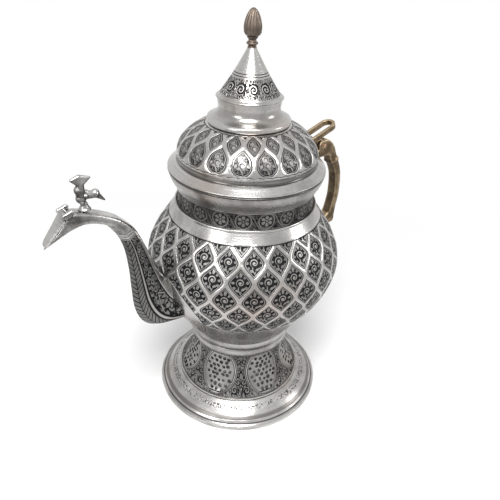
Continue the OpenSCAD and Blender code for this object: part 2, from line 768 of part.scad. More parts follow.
module thumb_ring() {
    strap_outline = [
        [dome_r + 1.6, z_step + 0.5], [rim_r + 0.3, z_lid + 1.6], [rim_r + 2, z_rim - 2.2],
        [hinge[0] - 3, z_rim - 1.6], [hinge[0], hinge[1]], [hinge[0] - 1, hinge[1] + knuckle_d/2],
        [hinge[0] - 12, hinge[1] + 12], [hinge[0] - 20, hinge[1] + 10], [dome_r + 4, z_step + 4.4]
    ];
    color("tan") difference() {
        union() {
            rotate([90, 0, 0]) linear_extrude(strap_w, center = true) polygon(strap_outline);
            translate([hinge[0], 0, hinge[1]]) rotate([90, 0, 0])
                cylinder(d = knuckle_d, h = strap_w, center = true, $fn = 48);
            translate([thumb_mid[0], 0, thumb_mid[1]]) rotate([0, -thumb_tilt, 0])
                linear_extrude(thumb_h, center = true) difference() {
                    stadium(thumb_l, thumb_w);
                    stadium(thumb_l - 2*thumb_t, thumb_w - 2*thumb_t);
                }
        }
        translate([thumb_mid[0], 0, thumb_mid[1]]) rotate([0, -thumb_tilt, 0])
            linear_extrude(2.8*thumb_h, center = true)
                translate([6, 0]) stadium(thumb_l - 2*thumb_t - 12, thumb_w - 2*thumb_t);
        translate([hinge[0], 0, hinge[1]]) rotate([90, 0, 0])
            cylinder(d = lid_pin_d + 2*pin_fit, h = 40, center = true, $fn = 32);
        strap_rivet_set(rivet_d);
        lid_core();
    }
}

module strap_rivet_set(d) {
    slope = atan2(bevel_h, rim_r - bevel_top_r);
    mid = [(rim_r + bevel_top_r)/2, z_lid + bevel_h*0.5];
    translate([mid[0], 0, mid[1]]) rotate([0, 90 - slope, 0])
        cylinder(d = d, h = 16, center = true, $fn = 24);
}

module strap_rivets() {
    color("peru") strap_rivet_set(rivet_d);
}

// ---- Parts ---------------------------------------------------------------------------------------------

foot_rim();
foot_bead();
foot_skirt();
foot_collar();
belly();
neck_bead();
neck();
mouth_wire();
spout_stem();
spout_beak();
bird();
spout_flap();
flap_pin();
handle();
handle_rivets();
lid_pin();
lid_flange();
lid_dome();
lid_plug();
crown_moulding();
cone();
knop_collar();
bud();
finial_stud();
thumb_ring();
strap_rivets();
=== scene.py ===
# %% [markdown]
# # A dallah coffee pot in tinned copper
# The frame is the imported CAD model: every body, pin and opening is already in its place, in metres.
# This script keeps that frame as it is.  It only gives each piece the surface of the real one: the
# spun sheets get smooth walls and chased relief, the castings get soft edges, and every finish is
# a procedural material.

import json
import math
from contextlib import contextmanager

import bmesh
import bpy
import numpy as np
from mathutils import Matrix, Vector

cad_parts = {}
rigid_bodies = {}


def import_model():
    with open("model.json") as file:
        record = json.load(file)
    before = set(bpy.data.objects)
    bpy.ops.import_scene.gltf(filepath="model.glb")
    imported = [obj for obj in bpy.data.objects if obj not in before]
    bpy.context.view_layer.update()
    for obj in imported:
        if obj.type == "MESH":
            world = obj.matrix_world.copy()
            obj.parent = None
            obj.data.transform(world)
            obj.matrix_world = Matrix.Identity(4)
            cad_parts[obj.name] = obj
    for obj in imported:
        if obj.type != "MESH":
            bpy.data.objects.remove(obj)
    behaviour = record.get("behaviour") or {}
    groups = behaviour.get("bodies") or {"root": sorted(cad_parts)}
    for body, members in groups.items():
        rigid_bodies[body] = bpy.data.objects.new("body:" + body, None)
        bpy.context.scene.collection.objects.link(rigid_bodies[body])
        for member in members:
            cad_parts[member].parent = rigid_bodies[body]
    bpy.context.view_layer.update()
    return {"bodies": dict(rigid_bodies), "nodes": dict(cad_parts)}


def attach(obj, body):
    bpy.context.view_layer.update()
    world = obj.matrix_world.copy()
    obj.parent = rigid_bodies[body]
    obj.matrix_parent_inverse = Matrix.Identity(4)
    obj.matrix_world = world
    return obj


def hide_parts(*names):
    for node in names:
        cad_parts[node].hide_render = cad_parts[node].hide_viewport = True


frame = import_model()
nodes = frame["nodes"]
MM = 0.001
FULL_TURN = 2 * math.pi

# %% [markdown]
# ## The camera
# The camera comes first, because it decides which side of the pot gets seen.  It could be aimed
# with a constraint, but a few plain numbers say the same and can be read: how far it stands, how
# high, how steeply it looks down and how it is rolled.  The pot's spout points along -X, so the
# camera walks round the pot by VIEW_TURN to see the spout on its left.

# %% Camera
CAMERA_DISTANCE = 0.5864
CAMERA_HEIGHT = 0.5776
CAMERA_PITCH = math.radians(31.66)
CAMERA_ROLL = math.radians(3.01)
CAMERA_YAW = math.radians(0.89)
VIEW_TURN = math.radians(-38.0)
FOCAL_LENGTH_PX = 521.0
IMAGE_PX = 500.0
SENSOR_MM = 36.0


def camera_axes(pitch, roll, yaw):
    """Right, up and forward of a camera that looks along +Y before it is turned."""
    forward = Vector((math.sin(yaw) * math.cos(pitch), math.cos(yaw) * math.cos(pitch),
                      -math.sin(pitch)))
    right = Vector((math.cos(yaw), -math.sin(yaw), 0))
    up = right.cross(forward)
    return (right * math.cos(roll) + up * math.sin(roll),
            up * math.cos(roll) - right * math.sin(roll),
            forward)


def new_object(name, data):
    """An object at the origin, linked into the scene."""
    made = bpy.data.objects.new(name, data)
    bpy.context.scene.collection.objects.link(made)
    return made


walk = Matrix.Rotation(VIEW_TURN, 3, "Z")
right, up, forward = (walk @ axis for axis in camera_axes(CAMERA_PITCH, CAMERA_ROLL, CAMERA_YAW))
camera_place = walk @ Vector((0, -CAMERA_DISTANCE, CAMERA_HEIGHT))
camera_data = bpy.data.cameras.new("camera")
camera_data.sensor_width = SENSOR_MM
camera_data.lens = FOCAL_LENGTH_PX / IMAGE_PX * SENSOR_MM
camera_data.clip_start = 0.01
camera = new_object("camera", camera_data)
camera.matrix_world = (Matrix.Translation(camera_place)
                       @ Matrix((right, up, -forward)).transposed().to_4x4())
bpy.context.scene.camera = camera
bpy.context.scene.view_settings.view_transform = "Standard"
print("camera at", [round(v, 3) for v in camera_place], "lens", round(camera_data.lens, 1))

# %% [markdown]
# ## Shader maths as expressions
# A chased pattern is arithmetic: how far is this point from the middle of a rib, which cell is it
# in.  Wiring Math nodes by hand hides that arithmetic.  The class Value wraps one socket and
# overloads the operators, so `1 - mask * 0.5` adds the Math nodes by itself.  NodeMaker adds nodes
# to any tree, and Finish holds the tree of one material.


# %% Value: a number that changes over a surface
def rule(operation, swapped=False):
    """A method that adds one Math node.  swapped puts the other number first, as in 1 - value."""
    if swapped:
        return lambda self, other: self.maker.math(operation, other, self)
    return lambda self, *others: self.maker.math(operation, self, *others)


class Value:
    def __init__(self, maker, socket):
        self.maker = maker
        self.socket = socket

    __add__, __radd__ = rule("ADD"), rule("ADD", True)
    __sub__, __rsub__ = rule("SUBTRACT"), rule("SUBTRACT", True)
    __mul__, __rmul__ = rule("MULTIPLY"), rule("MULTIPLY", True)
    __truediv__, __rtruediv__ = rule("DIVIDE"), rule("DIVIDE", True)
    __lt__, __gt__ = rule("LESS_THAN"), rule("GREATER_THAN")
    __pow__, __abs__ = rule("POWER"), rule("ABSOLUTE")
    floor, fract, sign = rule("FLOOR"), rule("FRACT"), rule("SIGN")
    sin, cos, sqrt = rule("SINE"), rule("COSINE"), rule("SQRT")
    most, least = rule("MAXIMUM"), rule("MINIMUM")

    def __neg__(self):
        return self * -1.0

    def clip(self):
        return self.maker.math("ADD", self, 0.0, clamp=True)

    def centred(self):
        """The signed distance to the nearest whole number."""
        return (self + 0.5).fract() - 0.5

    def ramp(self, low, high):
        """0 below low and 1 above high, with a smooth step between them.  low may be above high."""
        t = ((self - low) / (high - low)).clip()
        return t * t * (3 - 2 * t)

    def between(self, low, high, soft):
        """1 from low to high and 0 outside, with a smooth step inside each end."""
        return self.ramp(low, low + soft) * self.ramp(high, high - soft)

    def choose(self, if_one, if_zero):
        return if_zero + self * (if_one - if_zero)


def far(x, y):
    """How far (x, y) lies from zero."""
    return (x * x + y * y).sqrt()


def bearing(x, y):
    """The direction of (x, y), from minus pi to pi."""
    return x.maker.math("ARCTAN2", y, x)


# %% NodeMaker: adds nodes to any tree
class NodeMaker:
    def __init__(self, tree):
        self.tree = tree
        tree.nodes.clear()

    def node(self, kind, settings=None, values=None):
        """Adds a node: its settings first, then the numbers or links of its sockets."""
        made = self.tree.nodes.new(kind)
        for key, setting in (settings or {}).items():
            setattr(made, key, setting)
        for key, value in (values or {}).items():
            self.plug(made.inputs[key], value)
        return made

    def plug(self, socket, value):
        """Links a value or another node's socket, or sets a constant."""
        if isinstance(value, Value):
            value = value.socket
        if isinstance(value, bpy.types.NodeSocket):
            self.tree.links.new(value, socket)
        elif socket.type == "RGBA":
            socket.default_value = (*value, 1)
        else:
            socket.default_value = value

    def math(self, operation, *terms, clamp=False):
        made = self.node("ShaderNodeMath", {"operation": operation, "use_clamp": clamp},
                         dict(enumerate(terms)))
        return Value(self, made.outputs[0])

    def vector(self, x, y, z=0.0):
        return self.node("ShaderNodeCombineXYZ", values={0: x, 1: y, 2: z}).outputs[0]

    def parts(self, vector):
        """The three values of a vector."""
        made = self.node("ShaderNodeSeparateXYZ", values={0: vector})
        return [Value(self, socket) for socket in made.outputs]


# %% Finish: one material and its nodes
CHASING = "Chasing"         # the UV map of the turned pieces


class Finish(NodeMaker):
    def __init__(self, name):
        self.material = bpy.data.materials.new(name)
        self.material.use_nodes = True
        super().__init__(self.material.node_tree)

    def place(self):
        """Object coordinates, for a noise that fills space."""
        return self.node("ShaderNodeTexCoord").outputs["Object"]

    def xyz(self):
        """Object coordinates as three values, in metres."""
        return self.parts(self.place())

    def chasing(self):
        """The share of a full turn, and the length along the sheet in mm."""
        turn, length, _ = self.parts(self.node("ShaderNodeUVMap", {"uv_map": CHASING}).outputs[0])
        return turn, length / MM

    def facing_up(self):
        """The upward share of the surface's own normal: 1 on a top, 0 on a side, -1 below."""
        return self.parts(self.node("ShaderNodeTexCoord").outputs["Normal"])[2]

    def attribute(self, name):
        made = self.node("ShaderNodeAttribute", {"attribute_name": name})
        return Value(self, made.outputs["Fac"])

    def noise(self, vector, scale, detail=3.0, roughness=0.5):
        made = self.node("ShaderNodeTexNoise", values={
            "Vector": vector, "Scale": scale, "Detail": detail, "Roughness": roughness})
        return Value(self, made.outputs["Fac"])

    def cells(self, vector, scale, feature="F1"):
        made = self.node("ShaderNodeTexVoronoi", {"feature": feature}, {
            "Vector": vector, "Scale": scale})
        return Value(self, made.outputs["Distance"])

    def mix(self, share, first, second):
        made = self.node("ShaderNodeMix", {"data_type": "RGBA"}, {0: share, 6: first, 7: second})
        return made.outputs[2]

    def surface(self, colour, roughness, metallic, height, depth=1 * MM):
        """The shader itself.  A height of 1 stands out by depth."""
        bump = self.node("ShaderNodeBump", values={
            "Strength": 1.0, "Distance": depth, "Height": height})
        shader = self.node("ShaderNodeBsdfPrincipled", values={
            "Base Color": colour, "Roughness": roughness, "Metallic": metallic,
            "Normal": bump.outputs[0]})
        self.node("ShaderNodeOutputMaterial", values={0: shader.outputs[0]})
        return self.material


# %% [markdown]
# ## Rules that grow geometry
# Drilled and punched holes repeat by a rule.  A Python loop could copy the drills one by one, but a
# Geometry Nodes tree keeps the rule itself, with named inputs that can be changed by hand later.
# Grower builds such a tree, runs it once and keeps the result as a plain mesh.  The same Value class
# writes its arithmetic.

# %% Grower: one Geometry Nodes tree
class Grower(NodeMaker):
    def __init__(self, name, **inputs):
        super().__init__(bpy.data.node_groups.new(name, "GeometryNodeTree"))
        sockets = self.tree.interface
        sockets.new_socket("Geometry", in_out="OUTPUT", socket_type="NodeSocketGeometry")
        for label, value in inputs.items():
            kind = "NodeSocketInt" if isinstance(value, int) else "NodeSocketFloat"
            sockets.new_socket(label, in_out="INPUT", socket_type=kind).default_value = value
        self.entry = self.node("NodeGroupInput")

    def get(self, label):
        return Value(self, self.entry.outputs[label])

    def index(self):
        return Value(self, self.node("GeometryNodeInputIndex").outputs[0])

    def random(self, low, high, seed):
        made = self.node("FunctionNodeRandomValue", {"data_type": "FLOAT"},
                         {2: low, 3: high, 8: seed})
        return Value(self, made.outputs[1])

    def points(self, count, position, keep):
        """Points at a position that is worked out from their index.  Those with keep 0 go again."""
        made = self.node("GeometryNodePoints", values={"Count": count}).outputs[0]
        made = self.node("GeometryNodeSetPosition", values={"Geometry": made, "Position": position})
        drop = self.node("FunctionNodeCompare", {"operation": "LESS_THAN"}, {0: keep, 1: 0.5})
        return self.node("GeometryNodeDeleteGeometry", {"domain": "POINT"}, {
            "Geometry": made.outputs[0], "Selection": drop.outputs[0]}).outputs[0]

    def rod(self, sides, width, length):
        """A closed cylinder, for a drill or a punch."""
        return self.node("GeometryNodeMeshCylinder", {"fill_type": "NGON"}, {
            "Vertices": sides, "Radius": width * 0.5, "Depth": length}).outputs[0]

    def repeat(self, points, shape, course, scale, material):
        """Puts a shape on every point, lays its Z axis along its course, makes it real and gives it
        its finish."""
        turned = self.node("FunctionNodeAlignRotationToVector", {"axis": "Z"}, {"Vector": course})
        placed = self.node("GeometryNodeInstanceOnPoints", values={
            "Points": points, "Instance": shape, "Rotation": turned.outputs[0], "Scale": scale})
        real = self.node("GeometryNodeRealizeInstances", values={0: placed.outputs[0]})
        ready = self.node("GeometryNodeSetMaterial", values={
            "Geometry": real.outputs[0], "Material": material})
        self.node("NodeGroupOutput", values={0: ready.outputs[0]})

    def run(self, name):
        """The tree's result, as an object with a plain mesh."""
        made = new_object(name, bpy.data.meshes.new(name))
        made.modifiers.new("grow", "NODES").node_group = self.tree
        return settle(made)


# %% Settling, cutting and editing a mesh
SHARP = math.radians(35)    # an edge sharper than this is shaded as an edge


def settle(piece):
    """Applies the modifiers of a piece and leaves a plain mesh."""
    bpy.context.view_layer.update()
    solved = piece.evaluated_get(bpy.context.evaluated_depsgraph_get())
    mesh = bpy.data.meshes.new_from_object(solved)
    piece.modifiers.clear()
    piece.data = mesh
    return piece


def cut(piece, tool):
    """Cuts a closed tool out of a closed piece and uses the tool up."""
    carve = piece.modifiers.new("carve", "BOOLEAN")
    carve.operation = "DIFFERENCE"
    carve.solver = "MANIFOLD"
    carve.material_mode = "TRANSFER"
    carve.object = tool
    settle(piece)
    piece.data.set_sharp_from_angle(angle=SHARP)
    bpy.data.objects.remove(tool)


@contextmanager
def edited(piece):
    """A piece's mesh for bmesh, written back when the with block ends."""
    mesh = bmesh.new()
    mesh.from_mesh(piece.data)
    yield mesh
    mesh.to_mesh(piece.data)
    mesh.free()


# %% [markdown]
# ## Sections and spun walls
# A spun sheet is a section turned about the axis.  The frame already has each section, but its
# walls are cut into flats, and smooth shading alone would leave those flats in the outline.  Slicing
# a CAD node with a half plane gives the section back as a closed line.  The line is then redrawn as
# a smooth curve that keeps its true corners, and turned again in fine steps.  Relief is added while
# turning: a function says how far each point stands out.

# %% Section of a CAD node
SLICE_TURN = math.radians(77.1)     # a half plane that meets no hole, rivet or spout
WELD = 1e-6                         # in metres: points as near as this are one
TINY = 1e-7                         # an edge as short as this goes
SNAP = 0.6 * MM                     # a cut point goes to a CAD corner that is as near as this
SAME_SPOT = 0.02 * MM
SAME_LEVEL = 0.05 * MM


def chain(edges, out):
    """Orders loose edges into one loop of (r, z) points."""
    links = {}
    for edge in edges:
        a, b = edge.verts
        links.setdefault(a, []).append(b)
        links.setdefault(b, []).append(a)
    start = next((v for v, near in links.items() if len(near) == 1), next(iter(links)))
    loop, last, here = [], None, start
    while here is not None and here not in loop:
        loop.append(here)
        ahead = [v for v in links[here] if v is not last and v not in loop]
        last, here = here, (ahead[0] if ahead else None)
    return np.array([(v.co.dot(out), v.co.z) for v in loop])


def section(name):
    """The closed line (r, z) in which the half plane cuts a CAD node."""
    mesh = bmesh.new()
    mesh.from_mesh(nodes[name].data)
    bmesh.ops.remove_doubles(mesh, verts=mesh.verts, dist=WELD)
    corners = np.array([(math.hypot(v.co.x, v.co.y), v.co.z) for v in mesh.verts])
    out = Vector((math.cos(SLICE_TURN), math.sin(SLICE_TURN), 0))
    side = Vector((-math.sin(SLICE_TURN), math.cos(SLICE_TURN), 0))
    sliced = bmesh.ops.bisect_plane(
        mesh, geom=mesh.verts[:] + mesh.edges[:] + mesh.faces[:], plane_co=(0, 0, 0), plane_no=side)
    line = chain([e for e in sliced["geom_cut"] if isinstance(e, bmesh.types.BMEdge)
                  and all(v.co.dot(out) > -WELD for v in e.verts)], out)
    mesh.free()
    snapped = []
    for point in line:
        gaps = np.hypot(*(corners - point).T)
        nearest = corners[int(gaps.argmin())] if gaps.min() < SNAP else point
        if not snapped or np.hypot(*(nearest - snapped[-1])) > SAME_SPOT:
            snapped.append(nearest)
    return np.array(snapped)


# %% The outer and the inner part of a section
def outside(line):
    """Parts a closed section at its lowest and its highest outer corner: the outer part upwards,
    and the inner part down again."""
    def corner(level):
        return max((k for k, p in enumerate(line) if abs(p[1] - level) < SAME_LEVEL),
                   key=lambda k: line[k][0])

    lowest, highest = line[:, 1].min(), line[:, 1].max()
    middle = (lowest + highest) / 2
    i, j, count = corner(lowest), corner(highest), len(line)
    one = np.roll(line, -i, axis=0)[:(j - i) % count + 1]
    two = np.roll(line[::-1], -(count - 1 - i), axis=0)[:(i - j) % count + 1]

    def reach(path):
        """The largest radius at which a part crosses the middle level."""
        spans = [path[k:k + 2] for k in range(len(path) - 1)]
        return max(float(np.interp(middle, *np.sort(span[:, ::-1], axis=0).T))
                   for span in spans if span[:, 1].min() <= middle <= span[:, 1].max())

    inner, outer = sorted((one, two), key=reach)
    return outer, inner[::-1]


sliced_rim = section("foot_rim")
print("section of the foot's rim:", len(sliced_rim), "corners, outer radius in mm",
      round(sliced_rim[:, 0].max() / MM, 1))

# %% A smooth curve that keeps its corners
CORNER = math.radians(28)
EDGE = 0.22 * MM            # a corner is rounded by shading over this length only


def along(line):
    """Length from the start of the line to each of its points."""
    return np.concatenate([[0], np.cumsum(np.hypot(*np.diff(line, axis=0).T))])


def smooth_line(points, step):
    """Redraws a line with points about step apart.  A turn sharper than CORNER stays a corner."""
    ahead = np.diff(points, axis=0)
    course = np.unwrap(np.arctan2(ahead[:, 1], ahead[:, 0]))
    turns = np.flatnonzero(np.abs(np.diff(course)) > CORNER) + 1
    breaks = [0, *turns, len(points) - 1]
    drawn = [points[:1]]
    for a, b in zip(breaks[:-1], breaks[1:]):
        span = points[a:b + 1]
        at = along(span)
        lengths = np.hypot(*np.diff(span, axis=0).T)
        if len(span) > 2:
            slopes = np.gradient(span, at, axis=0)
            slopes[0] = 2 * (span[1] - span[0]) / lengths[0] - slopes[1]
            slopes[-1] = 2 * (span[-1] - span[-2]) / lengths[-1] - slopes[-2]
        else:
            slopes = np.repeat(np.diff(span, axis=0) / lengths[0], 2, axis=0)
        t = np.linspace(0, at[-1], max(1, round(at[-1] / step)) + 1)[1:]
        if at[-1] > 4 * EDGE:
            t = np.unique(np.concatenate([[EDGE], t, [at[-1] - EDGE]]))
        k = np.clip(np.searchsorted(at, t) - 1, 0, len(lengths) - 1)
        h = lengths[k][:, None]
        u = ((t - at[k])[:, None]) / h
        drawn.append((2*u**3 - 3*u**2 + 1) * span[k] + (u**3 - 2*u**2 + u) * h * slopes[k]
                     + (3*u**2 - 2*u**3) * span[k + 1] + (u**3 - u**2) * h * slopes[k + 1])
    return np.concatenate(drawn)


def wall_of(name, outer_step, inner_step):
    """The closed section of a spun node, redrawn, and the outer part of it."""
    outer, inner = outside(section(name))
    outer = smooth_line(outer, outer_step)
    return np.concatenate([outer, smooth_line(inner, inner_step)[1:-1]]), outer


print("the rim's outline:", len(smooth_line(outside(sliced_rim)[0], 1.5 * MM)), "points, redrawn")

# %% A mesh of rings, and its hollows
HOLLOW_REACH = 2.2 * MM
HOLLOW_BEND = 1.1           # radians of bend that count as a full corner


def ring_mesh(name, points):
    """A mesh of rows of points, in which every row and every column closes into a ring."""
    rows, columns = points.shape[:2]
    i, j = np.arange(rows)[:, None], np.arange(columns)[None, :]
    above, beside = (i + 1) % rows, (j + 1) % columns
    quads = np.stack([i * columns + j, i * columns + beside,
                      above * columns + beside, above * columns + j], -1)
    mesh = bpy.data.meshes.new(name)
    mesh.from_pydata(points.reshape(-1, 3).tolist(), [], quads.reshape(-1, 4).tolist())
    return mesh


def mark(mesh, label, values):
    """Keeps one number for each point, for a finish to read."""
    layer = mesh.attributes.new(label, "FLOAT", "POINT")
    layer.data.foreach_set("value", np.ravel(values).astype(np.float32))


def hollows(line):
    """How deep each point of a section lies in a hollow: 0 on ridges and flats, 1 in a corner."""
    length = along(line)
    back, ahead = (np.stack([np.interp(length + step, length, line[:, k]) for k in (0, 1)], 1)
                   for step in (-HOLLOW_REACH, HOLLOW_REACH))
    before, after = line - back, ahead - line
    bend = np.arctan2(before[:, 0] * after[:, 1] - before[:, 1] * after[:, 0],
                      (before * after).sum(1))
    return np.clip(-bend / HOLLOW_BEND, 0, 1)


# %% Turning a section
SEAM_STEP = 0.1 * MM        # the UV map's step where a section closes


def turned(name, line, segments, relief=None):
    """Turns a closed line of (r, z) about the axis.  relief(angle, length) is how far a point
    stands out.  The UV map holds the share of a full turn, and the length along the line."""
    rows = len(line)
    length = along(line)
    turn = np.arange(segments) / segments
    angle = FULL_TURN * turn
    normal = np.roll(line, -1, 0) - np.roll(line, 1, 0)
    normal = np.stack([normal[:, 1], -normal[:, 0]], 1)
    normal /= np.maximum(np.hypot(*normal.T), 1e-12)[:, None]
    height = relief(angle[None, :], length[:, None]) if relief else np.zeros((rows, segments))
    radius = line[:, :1] + normal[:, :1] * height
    level = line[:, 1:] + normal[:, 1:] * height
    mesh = ring_mesh(name, np.stack([radius * np.cos(angle), radius * np.sin(angle), level], -1))
    u0 = np.broadcast_to(turn, (rows, segments))
    u1 = u0 + 1 / segments
    ends = np.append(length, length[-1] + SEAM_STEP)
    v0, v1 = (np.repeat(part[:, None], segments, 1) for part in (ends[:-1], ends[1:]))
    corners = np.stack([u0, v0, u1, v0, u1, v1, u0, v1], -1)
    mesh.uv_layers.new(name=CHASING).data.foreach_set("uv", corners.ravel().astype(np.float32))
    # Hollow says how deep a point lies in a corner of the section; the tin's finish paints shade
    # there.
    mark(mesh, "Hollow", np.repeat(hollows(line), segments))
    mesh.validate()
    mesh.shade_smooth()
    return new_object(name, mesh)


# %% Dressing a piece
def body_of(name):
    return next(body for body, empty in frame["bodies"].items() if nodes[name].parent is empty)


def coat(mesh, material):
    mesh.materials.clear()
    mesh.materials.append(material)


def dress(piece, material, node):
    """Lets a new piece stand for a CAD node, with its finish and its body.  A piece that
    already has more than one finish comes with material None."""
    if material:
        coat(piece.data, material)
    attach(piece, body_of(node))
    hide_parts(node)
    print(piece.name, "has", len(piece.data.polygons), "faces")


def close_poles(piece):
    """Merges what lies on the axis, so that a pole is one point with faces all round it."""
    with edited(piece) as mesh:
        bmesh.ops.remove_doubles(mesh, verts=mesh.verts, dist=2 * WELD)
        bmesh.ops.dissolve_degenerate(mesh, edges=mesh.edges, dist=TINY)


def spun_piece(name, node, material, segments=240, outer_step=1.5 * MM, inner_step=6 * MM,
               relief=None):
    """A smooth copy of a spun CAD node, which it replaces."""
    line, outer = wall_of(node, outer_step, inner_step)
    piece = turned(name, line, segments, relief and relief(outer))
    close_poles(piece)
    dress(piece, material, node)
    return piece


# %% [markdown]
# ## Floor and light
# A plain pale floor carries the pot's shadow, and the world is white behind it.  Polished tin shows
# whatever stands round it, so one big soft lamp overhead and a weaker one at each side draw the
# bright streaks on shoulders and rims, and the floor gives the undersides their grey.  A picture of
# a real room would give richer reflections, but three lamps can be read and moved.

# %% Floor and world
FLOOR_SIZE = 24.0
FLOOR_COLOUR = (0.84, 0.84, 0.84)
FLOOR_NEAR = 0.30           # the floor begins to fade this far from the pot, in metres
FLOOR_FAR = 0.75
WHITE = (1, 1, 1)
WORLD_DIFFUSE = 0.55


def looked_at(maker):
    """1 for a ray that comes from the camera, straight or by way of metal or glass."""
    path = maker.node("ShaderNodeLightPath")
    straight, mirrored, through = (Value(maker, path.outputs[f"Is {kind} Ray"])
                                   for kind in ("Camera", "Glossy", "Transmission"))
    return straight.most(mirrored).most(through)


def floor_finish():
    """A pale floor near the pot.  Further out it fades into the white background."""
    finish = Finish("pale_floor")
    x, y, _ = finish.xyz()
    near = finish.node("ShaderNodeBsdfDiffuse", values={"Color": FLOOR_COLOUR})
    white = finish.node("ShaderNodeEmission", values={"Color": WHITE, "Strength": 1.0})
    blend = finish.node("ShaderNodeMixShader", values={
        0: looked_at(finish) * far(x, y).ramp(FLOOR_NEAR, FLOOR_FAR),
        1: near.outputs[0], 2: white.outputs[0]})
    finish.node("ShaderNodeOutputMaterial", values={0: blend.outputs[0]})
    return finish.material


def white_world():
    """White to look at, and dimmer as a light on the pot."""
    world = bpy.data.worlds.new("white_studio")
    world.use_nodes = True
    maker = NodeMaker(world.node_tree)
    strength = maker.node("ShaderNodeMapRange", values={
        "Value": looked_at(maker), "To Min": WORLD_DIFFUSE, "To Max": 1.0})
    light = maker.node("ShaderNodeBackground", values={
        "Color": WHITE, "Strength": strength.outputs[0]})
    maker.node("ShaderNodeOutputWorld", values={0: light.outputs[0]})
    return world


bpy.ops.mesh.primitive_plane_add(size=FLOOR_SIZE)
floor = bpy.context.object
floor.name = "floor"
coat(floor.data, floor_finish())
bpy.context.scene.world = white_world()
print("the floor is", FLOOR_SIZE, "m wide, the world's light on the pot", WORLD_DIFFUSE)

# %% Lamps
POT_MIDDLE = Vector((0, 0, 0.25))
# name, place in metres, width in metres, watts
LAMPS = [("lamp_above", (-0.45, -0.55, 1.45), 0.8, 26), ("lamp_left", (-1.5, -0.35, 0.9), 0.6, 7),
         ("lamp_right", (1.2, -1.1, 0.8), 0.5, 5)]
for lamp_name, lamp_place, lamp_width, watts in LAMPS:
    lamp_data = bpy.data.lights.new(lamp_name, "AREA")
    lamp_data.shape = "DISK"
    lamp_data.size = lamp_width
    lamp_data.energy = watts
    lamp = new_object(lamp_name, lamp_data)
    lamp.location = lamp_place
    lamp.rotation_euler = (POT_MIDDLE - lamp.location).to_track_quat("-Z", "Y").to_euler()
print("soft lamps:", len(LAMPS))

# %% [markdown]
# ## Tinned copper
# The sheet is copper, tinned by wiping molten tin over it.  The tin is bright where it was rubbed,
# lets a little copper blush through, and has painted shade in the hollows.  Hammering leaves shallow
# dents, and the spinning tool leaves fine rings.  A picture texture could show all that, but it would
# not follow the chased cells, so the finish is built from noise and from the cells' own arithmetic.

# %% Tin and its dark ground
TIN_BRIGHT = (0.47, 0.462, 0.45)
TIN_GREY = (0.16, 0.152, 0.144)
BLUSH = (0.40, 0.31, 0.26)
GROUND = (0.012, 0.012, 0.013)
HOLLOW_SHADE = (0.05, 0.047, 0.043)
# how fine each noise is, in waves per metre
STAIN_SCALE, CLOUD_SCALE, DENT_SCALE, GRAIN_SCALE, RING_SCALE = 9, 22, 26, 420, 850
RING_SWAY = 0.004
POLISHED = 0.15             # roughness of rubbed tin
GROUND_ROUGHER = 0.34       # and how much rougher the blackened ground is


# %% The tinned surface
def tin_surface(finish, bright=None, relief=0.0, rings=0.12, shade=0.0, hollow=None, blush=0.45):
    """Tinned sheet.  bright is 1 on bare tin and 0 in the blackened ground of the chasing, relief
    is how far the bright parts stand out in mm, rings is the depth of the tool's rings, shade greys
    the tin, and hollow is 1 in a corner, where shade is painted into the colour.  blush is how
    much copper shows."""
    spot = finish.place()
    cloud = finish.noise(spot, CLOUD_SCALE, 4, 0.6)
    stain = finish.noise(spot, STAIN_SCALE, 3)
    grain = finish.noise(spot, GRAIN_SCALE, 3, 0.6)
    level = finish.parts(spot)[2]
    turning = finish.noise(finish.vector(cloud * RING_SWAY, 0.0, level), RING_SCALE, 3, 0.7)
    dents = finish.noise(spot, DENT_SCALE, 2)
    grey = (cloud.ramp(0.40, 0.70) * 0.50 + turning.ramp(0.35, 0.75) * 0.26
            + grain.ramp(0.5, 0.8) * 0.18 + shade).clip()
    colour = finish.mix(grey, TIN_BRIGHT, TIN_GREY)
    colour = finish.mix(stain.ramp(0.52, 0.72) * blush, colour, BLUSH)
    roughness = POLISHED + cloud * 0.10 + grain * 0.06 + grey * 0.08
    height = dents * 0.7 + grain * 0.02 + turning * rings
    # Painted shade: in a section's hollows, or all over where hollow is a number, the colour is
    # darkened as shade would darken it.
    if hollow is not None:
        hollow_shade = (hollow * 1.5 + (cloud - 0.5) * hollow * 2).clip()
        colour = finish.mix(hollow_shade * 0.85, colour, HOLLOW_SHADE)
    if bright is not None:
        colour = finish.mix(bright, GROUND, colour)
        roughness = roughness + (1 - bright) * GROUND_ROUGHER
        height = height + bright * relief
    return finish.surface(colour, roughness, 1.0, height)


def plain_tin(name, hollow=None, **choices):
    """Tin without chasing.  Shade is painted into the section's hollows, or all over."""
    finish = Finish(name)
    return tin_surface(finish, hollow=hollow or finish.attribute("Hollow"), **choices)


# %% [markdown]
# ## The chased lattice
# The belly carries an ogee lattice: 23 cells round the pot, in staggered rows.  Two neighbouring
# ribs are mirrored waves, so they meet at a cell's tips and swell apart at its middle.  Each rib
# could be a bent strip of its own, but on the real pot they are one sheet with the panels between
# them.  So one rule is used twice: in numpy it lowers the panels, as the chasing hammer does, and
# in the shader it draws the black outline and the scrolls of each panel.

# %% The rule of an ogee lattice
STRAIGHT = 0.28             # 1 makes straight diamonds, 0 makes waves
RIB = 2.0                   # half the width of a rib, in mm
RIB_LEAN = 0.78             # a rib leans, so the way across it is shorter than the level way


def ogee(y, cosine):
    """Half the width of a cell: 1 at its middle, where y is 0, and 0 at its tips."""
    return STRAIGHT * (1 - y) + (1 - STRAIGHT) * 0.5 * (1 + cosine(y * math.pi))


def lattice_gap_np(u, v, pitch):
    """Distance in mm from the middle of the nearest rib."""
    row = np.floor(v + 0.5)
    x = u - 0.5 * (row % 2)
    x = np.abs(x - np.round(x)) * 2
    return np.abs(ogee(np.abs(v - row), np.cos) - x) * pitch * 0.5 * RIB_LEAN


